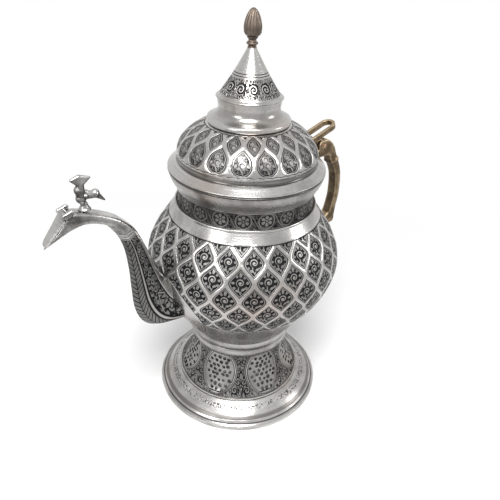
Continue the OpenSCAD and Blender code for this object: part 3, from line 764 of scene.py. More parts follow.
def lattice(u, v, pitch, row_height):
    """The same in nodes: distance from the rib, and the place in the cell, in mm."""
    row = (v + 0.5).floor()
    odd = (row * 0.5).fract() * 2
    x = (u - odd * 0.5).centred()
    y = v - row
    reach = ogee(abs(y), Value.cos)
    inside = (abs(x) * 2) < reach
    gap = abs(reach - abs(x) * 2) * pitch * (0.5 * RIB_LEAN)
    return (gap, inside.choose(x, x - x.sign() * 0.5) * pitch,
            inside.choose(y, y - y.sign()) * row_height)


def smoothstep(low, high, x):
    """Value.ramp in numpy."""
    t = np.clip((x - low) / (high - low), 0, 1)
    return t * t * (3 - 2 * t)


print("half widths of a cell from middle to tip:",
      [round(float(ogee(y, np.cos)), 2) for y in (0, 0.25, 0.5, 0.75, 1)])


# %% Scrolls and leaves
def curl(x, y, centre, size, width=0.5, hand=1.0):
    """1 on a spiral tendril round a centre, and its radius."""
    dx, dy = (x - centre[0]) * hand, y - centre[1]
    radius = far(dx, dy)
    arm = abs((radius / size - bearing(dx, dy) / FULL_TURN).centred()) * size
    return arm.ramp(width + 0.3, width - 0.1), radius


def leaves(finish, x, y, size, warp=0.55):
    """1 on leaf shapes that fill a ground, 0 in the dark gaps between them."""
    x, y = x / size, y / size
    sway_x = finish.noise(finish.vector(x, y), 0.9, 1) - 0.5
    sway_y = finish.noise(finish.vector(y, x, 3.7), 0.9, 1) - 0.5
    bent = finish.vector(x + sway_y * warp * 3 + y * 0.35, y * 0.72 + sway_x * warp * 3)
    edge = finish.cells(bent, 1.0, "DISTANCE_TO_EDGE")
    vein = finish.cells(bent, 1.0)
    return edge.ramp(0.07, 0.15) * (1 - vein.ramp(0.12, 0.06) * 0.6)


def leaf(x, y, root, lean, length, width):
    """1 on a pointed leaf with a dark vein.  It grows from its root, lean degrees right of up."""
    turn = math.radians(lean)
    dx, dy = x - root[0], y - root[1]
    out = dx * (math.sin(turn) / length) + dy * (math.cos(turn) / length)
    side = abs(dx * math.cos(turn) - dy * math.sin(turn))
    blade = (out * (1 - out)).most(0.0) * (4 * width)
    return (blade - side).ramp(0.0, 0.35) * (side.ramp(0.12, 0.32).most(out.ramp(0.7, 0.8)))


# %% A panel with its scroll
# each leaf is its root, its lean from upright, its length and half its width
BELLY_LEAVES = [((0, 6.5), 8, 8.5, 1.7), ((-2.2, 6.2), -38, 6.5, 1.5), ((3.2, 5.6), 48, 6.0, 1.5),
                ((-5.6, 1.0), -95, 4.6, 1.5), ((6.2, 0.5), 70, 4.6, 1.6),
                ((5.2, -3.6), 118, 5.2, 1.6), ((-4.6, -4.0), -120, 5.0, 1.6),
                ((0.8, -7.8), 62, 6.2, 1.5), ((-0.8, -9.6), -58, 5.2, 1.4),
                ((0.3, -12.0), 20, 4.0, 1.0)]
DOME_LEAVES = [((0.4, 6.6), 6, 7.5, 1.4), ((-1.6, 5.6), -35, 5.0, 1.2), ((2.6, 5.0), 40, 4.6, 1.2),
               ((-5.2, -3.0), -150, 5.0, 1.4), ((5.4, -3.0), 140, 5.4, 1.5),
               ((0.0, -8.0), 90, 4.5, 1.3), ((-1.0, -8.6), -80, 4.5, 1.2)]
# each curl is its centre, the step of its spiral, its reach and which way it turns
BELLY_CURLS = [((0.4, 0.9), 3.1, 5.0, 1.0)]
DOME_CURLS = [((-1.2, 2.4), 2.6, 3.9, -1.0), ((1.0, -4.2), 2.8, 4.3, 1.0)]
LINE_FROM, LINE_TO = 0.95, 1.90     # the bright line inside a rib, in mm past the rib's edge
FIELD_FROM, FIELD_TO = 2.3, 2.7     # between these the scroll's field begins
GRIT_SCALE = 1.1                    # specks of the punched ground, per mm
LINE_BRIGHT, FIELD_BRIGHT = 0.75, 0.74


def panel(finish, gap, x, y, sprays, curls, rib=RIB, filler=0.0):
    """Brightness of one chased panel: rib, black outline, bright line, scroll on black ground.
    filler is how bright the small leaves are that fill the ground."""
    on_rib = gap.ramp(rib + 0.30, rib - 0.05)
    line = gap.between(rib + LINE_FROM, rib + LINE_TO, 0.20)
    drawn = abs(x - (y * 0.3).sin() * 1.8).ramp(0.6, 0.3) * y.ramp(-3.0, -4.5)
    for centre, size, reach, hand in curls:
        arm, radius = curl(x, y, centre, size, 0.45, hand)
        drawn = drawn * radius.ramp(reach - 0.3, reach) + (
            arm.most(radius.ramp(1.5, 1.1)) * radius.ramp(reach, reach - 0.3))
    for spray in sprays:
        drawn = drawn.most(leaf(x, y, *spray))
    grit = finish.cells(finish.vector(x, y), GRIT_SCALE)
    ground = grit.ramp(0.30, 0.16) * 0.30
    if filler:
        ground = ground.most(leaves(finish, x + 40, y, 2.4) * filler)
    inside = gap.ramp(rib + FIELD_FROM, rib + FIELD_TO)
    return on_rib.most(line * LINE_BRIGHT).most(drawn.most(ground) * inside * FIELD_BRIGHT)


print("leaves in a panel of the belly and of the dome:", len(BELLY_LEAVES), len(DOME_LEAVES))

# %% [markdown]
# ## The belly
# A raised vessel with its own bottom.  Its CAD wall could be subdivided and displaced, but then the
# grid would not follow the lattice.  So the wall is redrawn with a grid of 22 columns for each cell,
# and the panels are sunk by three quarters of a millimetre.

# %% Sizes of the belly
BELLY_CELLS = 23
BELLY_SEGMENTS = BELLY_CELLS * 22
BELLY_STEP = 1.5 * MM
BELLY_TURN = 0.73           # share of a cell by which the lattice is turned about the axis
BELLY_ROW = 22.6            # mm of sheet from row to row
BELLY_MIDDLE = 221.5        # height of the middle row
BELLY_TOP = 2.84            # the lattice ends here, in rows above the middle one
BELLY_BOTTOM = -2.60
PANEL_DEPTH = 0.75          # in mm
RIB_CROWN = 0.3             # how far the middle of a rib stands out
ROOT_Z = 178.0              # the spout's root, with the plain field round it
ROOT_CLEAR = 51.0
OTHER_SIDE = 200            # mm that are added on the side without the spout

belly_line = wall_of("belly", BELLY_STEP, 14 * MM)[1]
belly_middle = float(np.interp(BELLY_MIDDLE, belly_line[:, 1] / MM, along(belly_line) / MM))
print("mm of sheet from the belly's foot to the middle row:", round(belly_middle, 1))


# %% Belly relief and finish
def belly_relief(outer):
    """How far the sheet stands out: 0 on ribs and plain fields, negative in the sunk panels."""
    lengths = along(outer) / MM

    def relief(angle, length):
        mm = length / MM
        v = (mm - belly_middle) / BELLY_ROW
        level = np.interp(mm, lengths, outer[:, 1] / MM)
        radius = np.interp(mm, lengths, outer[:, 0] / MM)
        u = angle / FULL_TURN * BELLY_CELLS + BELLY_TURN
        gap = lattice_gap_np(u, v, FULL_TURN * radius / BELLY_CELLS)
        sunk = smoothstep(RIB - 0.4, RIB + 0.9, gap)
        crown = RIB_CROWN * (1 - smoothstep(0, RIB, gap))
        root = np.hypot(radius * np.sin(angle), level - ROOT_Z) + OTHER_SIDE * (np.cos(angle) > 0)
        fade = (smoothstep(BELLY_BOTTOM - 0.02, BELLY_BOTTOM + 0.05, v)
                * smoothstep(BELLY_TOP + 0.02, BELLY_TOP - 0.05, v)
                * smoothstep(ROOT_CLEAR - 1, ROOT_CLEAR + 2, root) * (mm <= lengths[-1] + 0.01))
        return (crown - PANEL_DEPTH * sunk) * fade * MM
    return relief


def belly_finish():
    finish = Finish("chased_tin")
    x, y, z = finish.xyz()
    turn, mm = finish.chasing()
    v = (mm - belly_middle) / BELLY_ROW
    u = turn * BELLY_CELLS + BELLY_TURN
    pitch = far(x, y) / MM * (FULL_TURN / BELLY_CELLS)
    gap, across, upwards = lattice(u, v, pitch, BELLY_ROW)
    root = far(y, z - ROOT_Z * MM) / MM + (x > 0) * OTHER_SIDE
    field = v.between(BELLY_BOTTOM, BELLY_TOP, 0.02) * root.ramp(ROOT_CLEAR, ROOT_CLEAR + 1)
    edge = abs(v - BELLY_TOP).least(abs(v - BELLY_BOTTOM)) * BELLY_ROW
    border = edge.least(abs(root - ROOT_CLEAR)).ramp(0.3, 0.8)
    drawn = panel(finish, gap, across, upwards, BELLY_LEAVES, BELLY_CURLS)
    return tin_surface(finish, field.choose(drawn, 1.0) * border, 0.25)


belly_tin = belly_finish()
belly = spun_piece("belly_shell", "belly", belly_tin,
                   BELLY_SEGMENTS, BELLY_STEP, 14 * MM, belly_relief)

# %% [markdown]
# The strainer is a rosette of round holes behind the spout: one in the middle, then rings of six
# and twelve.  Dark dots in the finish would do while the lid is shut, but the holes show when it
# stands open, and the coffee runs through them.  So they are drilled, and all drills lie along X.

# %% Strainer holes
STRAINER_HOLE = 5.0 * MM
STRAINER_PITCH = 8.5 * MM
STRAINER_Z = (ROOT_Z - 3) * MM
STRAINER_GRID = 5
STRAINER_REACH = 2.2        # the outer ring's radius, in pitches
STRAINER_RISE = 0.87        # from row to row, in pitches: the holes stand in triangles
DRILL_X = -100 * MM         # middle of the drills, which are long enough for the wall on this side
DRILL_LENGTH = 60 * MM


def drill_tree(material):
    tree = Grower("strainer drills", Grid=STRAINER_GRID, Pitch=STRAINER_PITCH, Hole=STRAINER_HOLE)
    index, grid, pitch = tree.index(), tree.get("Grid"), tree.get("Pitch")
    row = (index / grid).floor()
    column = index - row * grid
    reach = (grid - 1) * 0.5
    up_or_down = row - reach
    odd = (abs(up_or_down) * 0.5).fract() * 2
    across = (column - reach + odd * 0.5) * pitch
    level = up_or_down * pitch * STRAINER_RISE
    place = tree.vector(DRILL_X, across, level + STRAINER_Z)
    points = tree.points(grid * grid, place, far(across, level) < pitch * STRAINER_REACH)
    drill = tree.rod(20, tree.get("Hole"), DRILL_LENGTH)
    tree.repeat(points, drill, (1.0, 0.0, 0.0), (1.0, 1.0, 1.0), material)
    return tree


cut(belly, drill_tree(belly_tin).run("drills"))
print("belly after drilling:", len(belly.data.polygons), "faces")

# %% [markdown]
# ## The dome of the lid
# Eighteen drops stand round the dome, with a second row between their tips and small points under
# the crown moulding.  They could be modelled drop by drop, but it is the belly's lattice with one
# change: below their widest line the drops keep their width and close with a round foot.

# %% Dome relief and finish
DOME_CELLS = 18
DOME_TURN = 0.6
DOME_WIDEST = 20.0          # mm of sheet from the foot of the dome to the drops' widest line
DOME_ROW = 20.5
DROP_FOOT = 15.0            # middle of the drops' round foot
DOME_END = 51.5             # the pattern ends here, under the moulding
DOME_WAVE = 2.3             # the wavy line at the dome's foot
DOME_CROWN = 0.5            # how far its ribs stand out and its drops are sunk, in mm
DOME_DEPTH = 0.6


def dome_gap_np(u, mm, pitch):
    v = np.maximum((mm - DOME_WIDEST) / DOME_ROW, 0)
    gap = lattice_gap_np(u, v, pitch)
    x = np.abs(u - np.round(u)) * pitch
    low = pitch / 2 - np.hypot(x, np.minimum(mm - DROP_FOOT, 0))
    return np.where(mm < DROP_FOOT, np.maximum(np.minimum(pitch / 2 - x, low), 0), gap)


def dome_relief(outer):
    lengths = along(outer) / MM

    def relief(angle, length):
        mm = length / MM
        radius = np.interp(mm, lengths, outer[:, 0] / MM)
        u = angle / FULL_TURN * DOME_CELLS + DOME_TURN
        gap = dome_gap_np(u, mm, FULL_TURN * radius / DOME_CELLS)
        sunk = smoothstep(RIB * 0.9, RIB * 1.5, gap)
        crown = DOME_CROWN * (1 - smoothstep(0, RIB, gap))
        fade = smoothstep(2.2, 4.0, mm) * smoothstep(DOME_END + 0.5, DOME_END - 1, mm)
        return (crown - DOME_DEPTH * sunk) * fade * MM
    return relief


def dome_finish():
    finish = Finish("chased_tin_dome")
    x, y, _ = finish.xyz()
    turn, mm = finish.chasing()
    pitch = far(x, y) * (FULL_TURN / DOME_CELLS / MM)
    u = turn * DOME_CELLS + DOME_TURN
    v = ((mm - DOME_WIDEST) / DOME_ROW).most(0.0)
    gap, across, upwards = lattice(u, v, pitch, DOME_ROW)
    across = (mm < DOME_WIDEST).choose(u.centred() * pitch, across)
    upwards = upwards + (mm - DOME_WIDEST).least(0.0)
    round_gap = (pitch * 0.5 - far(across, (mm - DROP_FOOT).least(0.0))).most(0.0)
    gap = (mm < DROP_FOOT).choose(round_gap, gap)
    field = mm.ramp(3.6, 3.9) * mm.ramp(DOME_END, DOME_END - 0.4)
    drawn = panel(finish, gap, across, upwards, DOME_LEAVES, DOME_CURLS, RIB * 1.1, 0.48)
    wave = mm - DOME_WAVE - (turn * (FULL_TURN * DOME_CELLS * 3)).sin() * 0.5
    border = abs(wave).least(abs(mm - DOME_END)).ramp(0.25, 0.6)
    return tin_surface(finish, field.choose(drawn, 1.0) * border, 0.25)


spun_piece("dome_shell", "lid_dome", dome_finish(),
           DOME_CELLS * 20, 1.0 * MM, 8 * MM, dome_relief)

# %% [markdown]
# ## The pierced skirt of the foot
# Seven drop-shaped medallions are pierced so that a warmer's heat can pass under the pot.  The real
# holes were punched by eye, so no two are alike.  A regular grid would look like a sieve; here
# Geometry Nodes lay the punches out in rows, push each one a little aside, keep those inside the
# drop and give each its own size.  One boolean cut then punches them all.

# %% The medallions' rule
MEDALLIONS = 7
MEDALLION_TURN = math.radians(4.4)
MEDALLION_WIDTH = 47.0
MEDALLION_LOW = 30.0
MEDALLION_HIGH = 83.0
MEDALLION_HEIGHT = MEDALLION_HIGH - MEDALLION_LOW
DROP_ARCH = 0.86            # the drop takes this share of a sine's arch, so its foot stays broad
DROP_SAG = 0.8              # below 1 its widest line lies lower
SKIRT_SEGMENTS = 420
SKIRT_EDGE = 28.3           # height of the line under the engraved field
SKIRT_DEPTH = 0.45          # how far the field lies below the medallions


def drop_half(share, sine, most):
    """Half the width of a medallion in mm at a share of its height."""
    arch = most(sine((share * DROP_ARCH) ** DROP_SAG * math.pi), 0.0)
    return arch ** 0.5 * (MEDALLION_WIDTH / 2)


def drop_half_nodes(share):
    return drop_half(share.most(0.0).least(1.0), Value.sin, Value.most)


def skirt_relief(outer):
    """The medallions stand out from the field round them."""
    lengths = along(outer)

    def relief(angle, length):
        level = np.interp(length, lengths, outer[:, 1]) / MM
        radius = np.interp(length, lengths, outer[:, 0]) / MM
        place = (angle - MEDALLION_TURN) * MEDALLIONS / FULL_TURN
        across = np.abs(place - np.round(place)) * FULL_TURN * radius / MEDALLIONS
        share = (level - MEDALLION_LOW) / MEDALLION_HEIGHT
        half = drop_half(np.clip(share, 0, 1), np.sin, np.maximum)
        raised = smoothstep(-0.8, 0.8, half - across) * (share > 0) * (share < 1)
        fade = smoothstep(26, 29, level) * (length <= lengths[-1])
        return SKIRT_DEPTH * (raised - 1) * fade * MM
    return relief


skirt_line, skirt_outer = wall_of("foot_skirt", 1.2 * MM, 4 * MM)
print("widest half of a medallion in mm:",
      round(float(drop_half(np.linspace(0, 1, 99), np.sin, np.maximum).max()), 1))

# %% Finishes of the skirt
SKIRT_CURLS = [(4.4, 76.0), (3.8, 61.0), (4.0, 46.0), (8.6, 36.0)]     # aside and height, in mm
CURL_STEP, CURL_REACH = 3.0, 4.3
# Painted shade: the colours of the foot's inside, which stands in the dark.
INSIDE_SHADE_DARK = (0.022, 0.020, 0.019)
INSIDE_SHADE_LIGHT = (0.05, 0.045, 0.04)


def skirt_finish():
    finish = Finish("pierced_skirt")
    x, y, z = finish.xyz()
    turn = bearing(-x, -y) / FULL_TURN + 0.5
    around = far(x, y) / MM * (FULL_TURN / MEDALLIONS)
    level = z / MM
    place = turn * MEDALLIONS - MEDALLION_TURN * MEDALLIONS / FULL_TURN
    signed = place.centred() * around
    inside = drop_half_nodes((level - MEDALLION_LOW) / MEDALLION_HEIGHT) - abs(signed)
    inside = inside.least((level - MEDALLION_LOW) * 0.9)
    rim = inside.ramp(-0.2, 0.1) * inside.ramp(1.5, 1.2)
    field = inside.ramp(2.2, 2.6) * 0.66
    line = inside.between(-2.2, -0.9, 0.3) * 0.8
    leafy = leaves(finish, signed + turn * 500, level, 3.6)
    for centre in SKIRT_CURLS:
        arm, distance = curl(abs((place + 0.5).centred() * around), level, centre, CURL_STEP)
        leafy = (leafy * distance.ramp(CURL_REACH, CURL_REACH + 0.4)
                 + arm * distance.ramp(CURL_REACH, CURL_REACH - 0.4))
    leafy = leafy * inside.ramp(-2.9, -3.3) * 0.6
    foot = level.ramp(SKIRT_EDGE + 0.7, SKIRT_EDGE + 0.3)
    step = abs(level - SKIRT_EDGE).ramp(0.2, 0.5)
    bright = rim.most(field).most(line).most(leafy).most(foot) * step
    return tin_surface(finish, bright, 0.3, rings=0.08, shade=0.10)


def sooty_metal():
    """The inside of the foot and the walls of its holes: bare metal, painted dark as the shade in
    there.
    """
    finish = Finish("sooty_metal")
    cloud = finish.noise(finish.place(), 60, 3)
    colour = finish.mix(cloud.ramp(0.4, 0.7), INSIDE_SHADE_DARK, INSIDE_SHADE_LIGHT)
    return finish.surface(colour, cloud * 0.2 + 0.55, 0.5, cloud, 0.3 * MM)


# %% The punches, grown by Geometry Nodes
HOLE_MM = 5.2
HOLE_PITCH = 7.2
HOLE_COLUMNS = 6
HOLE_ROWS = 8
HOLE_STRAY = 0.17           # how far a hole strays from its place, in pitches
HOLE_RISE = 0.86            # from row to row, in pitches
HOLE_MARGIN = 0.78          # from a hole's middle to the drop's edge, in widths of a hole
LAST_HOLE = 0.93            # no hole lies above this share of the drop
WIDTHS, HEIGHTS = (0.72, 1.12), (0.80, 1.18)    # of the single holes, as shares of HOLE_MM
PUNCH_SIDES = 9
PUNCH_LENGTH = 12 * MM
PUNCH_LEAN = 34 * MM        # how far a punch rises over the skirt's radius: it stands square on it
ASIDE_SEED, UP_SEED, WIDTH_SEED, HEIGHT_SEED = 7, 8, 3, 4


def punch_tree(material):
    tree = Grower("medallion punches", Medallions=MEDALLIONS, Columns=HOLE_COLUMNS, Rows=HOLE_ROWS,
                  Pitch=HOLE_PITCH * MM, Hole=HOLE_MM * MM, Stray=HOLE_STRAY)
    index, columns, rows = tree.index(), tree.get("Columns"), tree.get("Rows")
    pitch, stray = tree.get("Pitch"), tree.get("Stray")
    each = columns * rows
    medallion = (index / each).floor()
    inside = index - medallion * each
    row = (inside / columns).floor()
    column = inside - row * columns
    odd = (row * 0.5).fract()
    aside, up_a_bit = (tree.random(-1.0, 1.0, seed) * stray for seed in (ASIDE_SEED, UP_SEED))
    across = (column - (columns - 1) * 0.5 + odd - 0.25 + aside) * pitch
    level = (row + 0.75 + up_a_bit) * pitch * HOLE_RISE
    share = level / (MEDALLION_HEIGHT * MM)
    # the skirt's radius at this height: a curve through its two ends and its middle
    heights = (MEDALLION_LOW, (MEDALLION_LOW + MEDALLION_HIGH) / 2, MEDALLION_HIGH)
    low, mid, high = (float(np.interp(h * MM, skirt_outer[:, 1], skirt_outer[:, 0]))
                      for h in heights)
    radius = (low + share * (4 * mid - 3 * low - high)
              + share * share * (2 * low + 2 * high - 4 * mid))
    room = drop_half_nodes(share) * MM - abs(across) - HOLE_MM * HOLE_MARGIN * MM
    keep = (room > 0.0) * (share < LAST_HOLE)
    angle = medallion * (FULL_TURN / MEDALLIONS) + MEDALLION_TURN + across / radius
    place = tree.vector(radius * angle.cos(), radius * angle.sin(), level + MEDALLION_LOW * MM)
    points = tree.points(tree.get("Medallions") * each, place, keep)
    # deleting points renumbers them, so the punches' course comes from their place, not their index
    spot = tree.node("GeometryNodeInputPosition").outputs[0]
    course = tree.node("ShaderNodeVectorMath", {"operation": "MULTIPLY_ADD"}, {
        0: spot, 1: (1.0, 1.0, 0.0), 2: (0.0, 0.0, PUNCH_LEAN)}).outputs[0]
    size = tree.vector(tree.random(*WIDTHS, WIDTH_SEED), tree.random(*HEIGHTS, HEIGHT_SEED), 1.0)
    punch = tree.rod(PUNCH_SIDES, tree.get("Hole"), PUNCH_LENGTH)
    tree.repeat(points, punch, course, size, material)
    return tree


skirt = turned("skirt_wall", skirt_line, SKIRT_SEGMENTS, skirt_relief(skirt_outer))
close_poles(skirt)
# The inside of the foot, and after the cut the walls of the holes, carry painted shade.
inside_shade = sooty_metal()
skirt.data.materials.append(skirt_finish())
skirt.data.materials.append(inside_shade)
inner_rows = np.arange(len(skirt_line)) >= len(skirt_outer)
skirt.data.polygons.foreach_set(
    "material_index", np.repeat(inner_rows, SKIRT_SEGMENTS).astype(np.int32))
punches = punch_tree(inside_shade).run("punches")
print("punches:", len(punches.data.polygons) // (PUNCH_SIDES + 2))
cut(skirt, punches)
dress(skirt, None, "foot_skirt")

# %% [markdown]
# ## Plain spun pieces
# Rims, mouldings and beads have no pattern, only their section, so one loop makes them all.  The
# foot's rim carries a band of small punched dots and two lines, which its finish draws.

# %% The foot's rim
RIM_SPECKS = (91.0, 98.5)   # radii in mm of the band of dots
RIM_GREY = (103.5, 107.5)   # and of a dull band, with a thin line at its end
RIM_LINE = 110.8


def rim_finish():
    finish = Finish("rim_tin")
    x, y, z = finish.xyz()
    spot = finish.place()
    radius = far(x, y) / MM
    dots = finish.cells(spot, 430).ramp(0.50, 0.36) * finish.noise(spot, 60, 2).ramp(0.30, 0.46)
    band = radius.between(*RIM_SPECKS, 1.5)
    above = z.ramp(2 * MM, 3 * MM)
    line = abs(radius - RIM_LINE).ramp(0.9, 0.4).most(
        abs(radius - RIM_GREY[1]).ramp(0.4, 0.15) * 0.6)
    grey = radius.between(RIM_GREY[0], RIM_GREY[1] + 0.4, 0.8)
    bright = 1 - (dots * band * 0.9).most(line * 0.85) * above
    return tin_surface(finish, bright, 0.2, rings=0.10, shade=grey * above * 0.8,
                       hollow=finish.attribute("Hollow"), blush=0.12)


# %% Plain pieces
bright_tin = plain_tin("bright_tin", rings=0.10)
dull_tin = plain_tin("dull_tin", rings=0.16, shade=0.25)
# The mouth's wire between the lid's flange and the flare is painted dark all over, as painted shade.
sooty_wire = plain_tin("sooty_wire", hollow=0.75)
warm_tin = plain_tin("warm_tin", rings=0.2, shade=0.25, blush=0.9)
SPUN = [
    ("rim_of_foot", "foot_rim", rim_finish()), ("bead_of_foot", "foot_bead", bright_tin),
    ("collar_of_foot", "foot_collar", warm_tin), ("bead_of_neck", "neck_bead", bright_tin),
    ("wire_of_mouth", "mouth_wire", sooty_wire), ("flange_of_lid", "lid_flange", bright_tin),
    ("plug_of_lid", "lid_plug", dull_tin), ("crown_of_lid", "crown_moulding", bright_tin),
]
for piece_name, node_name, material in SPUN:
    spun_piece(piece_name, node_name, material)

# %% [markdown]
# ## Neck and cone
# Both carry an engraved band.  The neck's holds twenty rosettes in vine loops, the cone's a row of
# foliage.  The relief is too fine for the mesh, so the shader cuts it with a bump.

# %% Neck band
ROSETTES = 20
ROSETTE_TURN = 0.15
NECK_RADIUS = 85.5
BAND_MIDDLE = 303.5
BAND_HALF = 9.9


def neck_finish():
    finish = Finish("engraved_neck")
    turn, _ = finish.chasing()
    u = turn * ROSETTES + ROSETTE_TURN
    across = u.centred() * (FULL_TURN * NECK_RADIUS / ROSETTES)
    upwards = finish.xyz()[2] / MM - BAND_MIDDLE
    radius = far(across, upwards)
    petal = abs((bearing(across, upwards) * 3).sin())
    flower = (radius - petal * 1.6).ramp(5.4, 5.0) * radius.ramp(2.0, 2.5) * petal.ramp(0.28, 0.5)
    boss = radius.ramp(1.5, 1.1)
    loop = abs(radius - 9.3).ramp(0.75, 0.35)
    vine = abs(upwards - (u * FULL_TURN).sin() * 8.4).ramp(1.0, 0.5) * radius.ramp(8.8, 9.4)
    filler = leaves(finish, across + turn * 400, upwards, 3.0) * radius.ramp(6.9, 7.3)
    drawn = flower.most(boss).most(loop).most(vine * 0.9).most(filler * 0.45) * 0.60
    field = abs(upwards).ramp(BAND_HALF, BAND_HALF - 0.3)
    groove = abs(abs(upwards) - BAND_HALF - 1.6).ramp(0.15, 0.45)
    bright = field.choose(drawn, 1.0) * groove
    return tin_surface(finish, bright, 0.3, rings=0.25, shade=0.36, blush=0.8)


spun_piece("neck_wall", "neck", neck_finish(), 360, 1.2 * MM, 6 * MM)

# %% Cone
CONE_LOW, CONE_HIGH = 422.0, 441.0
CONE_SCROLLS = 12
CONE_LINES = 3.2            # the middle of two lines above the band, and half the way between them
CONE_LINES_APART = 1.2


def cone_finish():
    finish = Finish("engraved_cone")
    x, y, z = finish.xyz()
    turn, _ = finish.chasing()
    level = z / MM
    across = (turn * CONE_SCROLLS).centred() * (far(x, y) / MM) * (FULL_TURN / CONE_SCROLLS)
    upwards = level - (CONE_LOW + CONE_HIGH) / 2
    ring, distance = curl(across, upwards, (0.0, 0.0), 3.0)
    filler = leaves(finish, across + turn * 300, upwards, 3.0)
    drawn = (ring * distance.ramp(5.6, 5.2)).most(filler * distance.ramp(5.8, 6.3))
    field = level.between(CONE_LOW, CONE_HIGH, 0.3)
    groove = abs(abs(level - CONE_HIGH - CONE_LINES) - CONE_LINES_APART).ramp(0.2, 0.5)
    return tin_surface(finish, field.choose(drawn, 1.0) * groove, 0.25, rings=0.25)


spun_piece("cone_wall", "cone", cone_finish(), 240, 1.0 * MM, 6 * MM)

# %% [markdown]
# ## Cast metals
# Sand casting leaves soft edges, small pits and dark hollows, and hands rub the ridges bright.  The
# castings' shapes are already in the CAD nodes, but their edges are knife sharp.  A bevel would
# have to find hundreds of edges; a voxel remesh and a few smoothing passes melt them all at once.
# The same smoothing, taken further, tells a hollow from a ridge: a hollow moves out, a ridge in.


# %% Finishes of cast metal
def cast_metal(name, light, dark, roughness, patina=0.5, worn_and_shaded=True):
    """Sand-cast metal: rubbed bright on its ridges, dull and dark in its hollows and pits; its sides
    and undersides get painted shade.
    """
    finish = Finish(name)
    spot = finish.place()
    cloud = finish.noise(spot, 60, 4, 0.6)
    pits = finish.noise(spot, 700, 3, 0.7)
    stain = finish.noise(spot, 17, 3)
    share = (cloud.ramp(0.35, 0.7) * patina + pits.ramp(0.55, 0.75) * 0.4
             + stain.ramp(0.45, 0.7) * patina * 0.6)
    if worn_and_shaded:
        share = share + finish.attribute("Hollow") * 0.9 - finish.attribute("Ridge") * 0.35
        # Painted shade: the sides and undersides are darker than the tops.
        share = share + finish.facing_up().ramp(0.75, -0.1) * 0.55
    share = share.clip()
    colour = finish.mix(share, light, dark)
    return finish.surface(colour, share * 0.18 + roughness, 1.0, cloud * 0.5 + pits * 0.15)


brass = cast_metal("sandy_brass", (0.44, 0.345, 0.225), (0.10, 0.070, 0.043), 0.33)
bronze = cast_metal("dark_bronze", (0.20, 0.16, 0.13), (0.055, 0.045, 0.04), 0.34, worn_and_shaded=False)
rivet_copper = cast_metal("rivet_copper", (0.60, 0.38, 0.27), (0.25, 0.15, 0.10), 0.30, worn_and_shaded=False)
pin_steel = cast_metal("pin_steel", (0.32, 0.31, 0.30), (0.12, 0.11, 0.10), 0.35, worn_and_shaded=False)
cast_tin = cast_metal("cast_tin", (0.50, 0.49, 0.478), (0.085, 0.081, 0.077), 0.17, patina=0.45)
print("materials so far:", len(bpy.data.materials))

# %% Melting a CAD node into a casting
WEAR_PASSES = 20
WEAR_REACH = 0.22 * MM


def places_of(mesh):
    spots = np.empty(len(mesh.vertices) * 3, np.float32)
    mesh.vertices.foreach_get("co", spots)
    return spots.reshape(-1, 3)


def add_balls(piece, balls):
    """Adds balls (x, y, z, radius in mm), which the remesh then melts into the piece."""
    with edited(piece) as mesh:
        for x, y, z, radius in balls:
            bmesh.ops.create_icosphere(mesh, subdivisions=3, radius=radius * MM,
                                       matrix=Matrix.Translation(Vector((x, y, z)) * MM))


def melt(name, node, voxel, passes, material, slot, balls=()):
    """A copy of a CAD node with molten edges, and with its hollows and ridges as attributes."""
    piece = new_object(name, nodes[node].data.copy())
    close_poles(piece)
    add_balls(piece, balls)
    flow = piece.modifiers.new("flow", "REMESH")
    flow.mode = "VOXEL"
    flow.voxel_size = voxel * MM
    piece.modifiers.new("soften", "SMOOTH").iterations = passes
    settle(piece)
    cast = places_of(piece.data)
    piece.modifiers.new("wear", "SMOOTH").iterations = WEAR_PASSES
    bpy.context.view_layer.update()
    rubbed = places_of(piece.evaluated_get(bpy.context.evaluated_depsgraph_get()).data)
    piece.modifiers.clear()
    out = np.array([v.vector[:] for v in piece.data.vertex_normals], np.float32)
    lift = ((rubbed - cast) * out).sum(1) / WEAR_REACH
    for label, sign in (("Hollow", 1), ("Ridge", -1)):
        mark(piece.data, label, np.clip(lift * sign, 0, 1))
    piece.data.shade_smooth()
    dress(piece, material, node)


# %% The castings
BIRD_SEAT = (-202.5, 0.0, 331.9)
# chest, shoulders, a boss on each wing, head, eyes, nape and thighs, from the bird's seat
BIRD_BALLS = [(-2.4, 0, 12.6, 5.3), (-3.4, 0, 21.5, 5.0), (1.5, 4.2, 16.0, 2.3),
              (1.5, -4.2, 16.0, 2.3), (12.4, 0, 14.8, 4.7), (13.4, 3.9, 15.6, 1.3),
              (13.4, -3.9, 15.6, 1.3), (3.4, 0, 18.4, 2.8), (-3.0, 3.4, 9.4, 2.4),
              (-3.0, -3.4, 9.4, 2.4)]
bird_balls = [(BIRD_SEAT[0] + x, y, BIRD_SEAT[2] + z, r) for x, y, z, r in BIRD_BALLS]
# name, CAD node, voxel in mm, smoothing passes, finish, slot
CASTINGS = [
    ("cast_handle", "handle", 0.75, 4, brass, "cast_brass"),
    ("cast_thumb_ring", "thumb_ring", 0.5, 4, brass, "cast_brass"),
    ("cast_bird", "bird", 0.4, 9, cast_tin, "tinned_copper", bird_balls),
    ("cast_beak", "spout_beak", 0.6, 4, cast_tin, "tinned_copper"),
    ("beak_flap", "spout_flap", 0.3, 3, bright_tin, "tinned_copper"),
]
for casting in CASTINGS:
    melt(*casting)

# %% [markdown]
# ## Collar and bud
# The finial ends in a turned collar and a bud with twelve gadroons.  A bud could be cut with twelve
# grooves, but a boolean leaves hard edges.  Both pieces are turned like the spun sheets; the bud's
# relief is one cosine round the axis that fades at its foot and its tip.

# %% Collar and ribbed bud
GADROONS = 12
GADROON_DEPTH = 0.75


